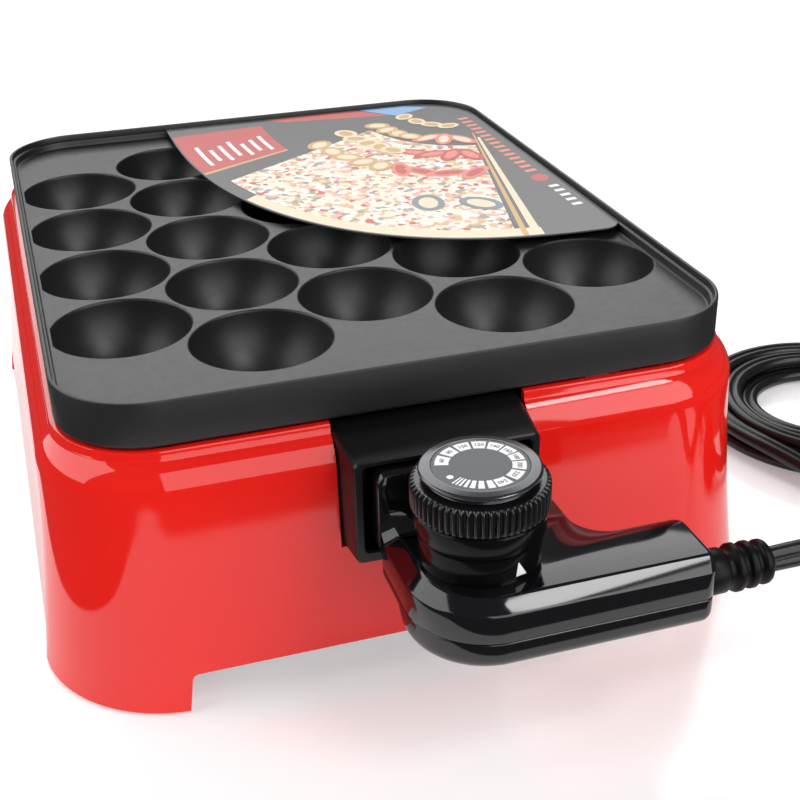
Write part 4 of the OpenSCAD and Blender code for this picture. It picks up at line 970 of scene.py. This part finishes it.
# Fine flakes of print, each cell a single tone
flakes = card_flakes.node_tree
flake_place = node(flakes, "TexCoord")
flake_cells = node(flakes, "TexVoronoi")
flake_cells.inputs["Scale"].default_value = 480.0
flake_part = node(flakes, "SeparateXYZ")
flake_ramp = node(flakes, "ValToRGB")
flake_ramp.color_ramp.interpolation = "CONSTANT"
flake_tones = [(0.0, (0.82, 0.72, 0.55)), (0.26, (0.84, 0.83, 0.8)), (0.44, (0.66, 0.42, 0.18)),
               (0.56, (0.8, 0.4, 0.33)), (0.7, (0.3, 0.3, 0.28)), (0.8, (0.85, 0.76, 0.6)),
               (0.93, (0.55, 0.08, 0.06))]
while len(flake_ramp.color_ramp.elements) < len(flake_tones):
    flake_ramp.color_ramp.elements.new(0.5)
for element, (spot, tone) in zip(flake_ramp.color_ramp.elements, flake_tones):
    element.position, element.color = spot, (*tone, 1)
join(flakes, (flake_place.outputs["Object"], flake_cells.inputs["Vector"]),
     (flake_cells.outputs["Color"], flake_part.inputs[0]),
     (flake_part.outputs["X"], flake_ramp.inputs["Fac"]),
     (flake_ramp.outputs["Color"], flakes.nodes["Principled BSDF"].inputs["Base Color"]))


def on_bow(share, angle):
    """A point of the card's free edge, or of a like curve nearer the back right corner."""
    a = math.radians(angle)
    return (CARD_X - CARD_W * share * math.cos(a) ** (2 / CARD_BOW),
            CARD_BACK - CARD_L * share * math.sin(a) ** (2 / CARD_BOW))


def card_line():
    """The card's outline, counter-clockwise seen from above, from the right edge's back end."""
    line = arc(CARD_X - CARD_CORNER, CARD_BACK - CARD_CORNER, CARD_CORNER, 0, 90, 14)
    line.append((CARD_X - CARD_W, CARD_BACK))
    line += [on_bow(1, 90 * i / 60) for i in range(1, 60)]
    line += arc(CARD_X - CARD_FRONT_R, CARD_BACK - CARD_L + CARD_FRONT_R, CARD_FRONT_R, -90, 0, 8)
    return line


card = piece("printed_card", *prism(card_line(), "z", CARD_LOW, CARD_TOP), "card", "printed_card",
             card_ground)
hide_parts("insert_card")


def ink_patch(name, outline, level, ink):
    """A printed area: a very thin layer on the card."""
    z = CARD_TOP + 0.01 * level
    piece(name, *prism(outline, "z", z - 0.015, z), "card", "printed_card", ink)


def bow_band(inner, outer, start, end, steps=40):
    """An area between two such curves and between two angles."""
    angles = [start + (end - start) * i / steps for i in range(steps + 1)]
    return [on_bow(outer, a) for a in angles] + [on_bow(inner, a) for a in reversed(angles)]


def oval(x, y, long, short, turn):
    """An oval outline with its two half lengths, turned by an angle in degrees."""
    c, w = math.cos(math.radians(turn)), math.sin(math.radians(turn))
    return [(x + c * u * long - w * v * short, y + w * u * long + c * v * short) for u, v in circle(1)]


# Bands and flakes along the free edge, rows of rounds and ovals inside them, and
# a plain margin with dashes at the right
ink_patch("card_band_red", bow_band(0.70, 0.995, 2, 16.5), 1, card_red)
for k in range(7):
    share = 0.73 + 0.035 * k
    bar = bow_band(share, share + 0.013, 6.5 + k % 3, 14.5 - k % 2, 12)
    ink_patch(f"card_red_bar_{k + 1}", bar, 2, card_white)
ink_patch("card_band_gold", bow_band(0.70, 0.995, 16.5, 17.2, 4), 1, card_gold)
ink_patch("card_flake_field", bow_band(0.40, 0.955, 22, 78.4), 1, card_flakes)
ink_patch("card_band_cream", bow_band(0.955, 0.995, 30, 82), 1, card_cream)
ink_patch("card_band_line", bow_band(0.30, 0.995, 79.2, 80, 4), 2, card_gold)
ink_patch("card_band_pale", bow_band(0.34, 0.995, 80.6, 81.8, 4), 2, card_cream)

# Each row: its share of the card, its ovals' half lengths, first and last angle, count, inks
print_rows = [
    (0.60, 6.0, 4.4, 20, 46, 5, card_gold, card_cream), (0.60, 8.4, 3.6, 53, 75, 4, card_coral, card_red),
    (0.48, 5.4, 4.2, 18, 44, 5, card_cream, card_gold), (0.47, 8.0, 3.6, 54, 75, 4, card_red, card_coral),
    (0.36, 5.2, 4.0, 20, 44, 4, card_gold, card_cream), (0.35, 7.4, 3.4, 54, 73, 3, card_coral, card_cream),
    (0.24, 4.6, 3.4, 20, 64, 4, card_cream, card_gold), (0.80, 8.4, 5.6, 64, 74.5, 2, card_slate, card_cream)]
for row, (share, long, short, start, end, count, outer_ink, inner_ink) in enumerate(print_rows, 1):
    for k in range(count):
        angle = start + (end - start) * k / (count - 1)
        x, y = on_bow(share, angle)
        turn = 20 + 47 * k + 30 * row
        level = 3 + 3 * k + row / 3
        ink_patch(f"card_round_{row}_{k + 1}", oval(x, y, long, short, turn), level, outer_ink)
        heart = oval(x, y, long * 0.66, short * 0.6, turn)
        ink_patch(f"card_heart_{row}_{k + 1}", heart, level + 1, inner_ink)
ink_patch("card_corner_red", [(10, 143.5), (48, 143.5), (60, 132), (16, 138)], 1, card_red)
ink_patch("card_corner_blue", [(50, 143.5), (69, 143.3), (78, 138), (62, 131)], 1, card_blue)
for k in range(15):
    y = 118.0 - 5.2 * k
    dash = [(88.6, y), (84.0, y - 1.0), (84.4, y - 3.4), (89.0, y - 2.4)]
    ink_patch(f"card_dash_{k + 1}", dash, 2, card_coral)
ink_patch("card_margin_oval", oval(86.4, 34.5, 4.2, 3.2, 70), 2, card_red)
for k in range(5):
    y = 26.0 - 5.0 * k
    dash = [(89.4, y), (85.6, y - 0.6), (85.8, y - 2.8), (89.6, y - 2.2)]
    ink_patch(f"card_mark_{k + 1}", dash, 2, card_white)
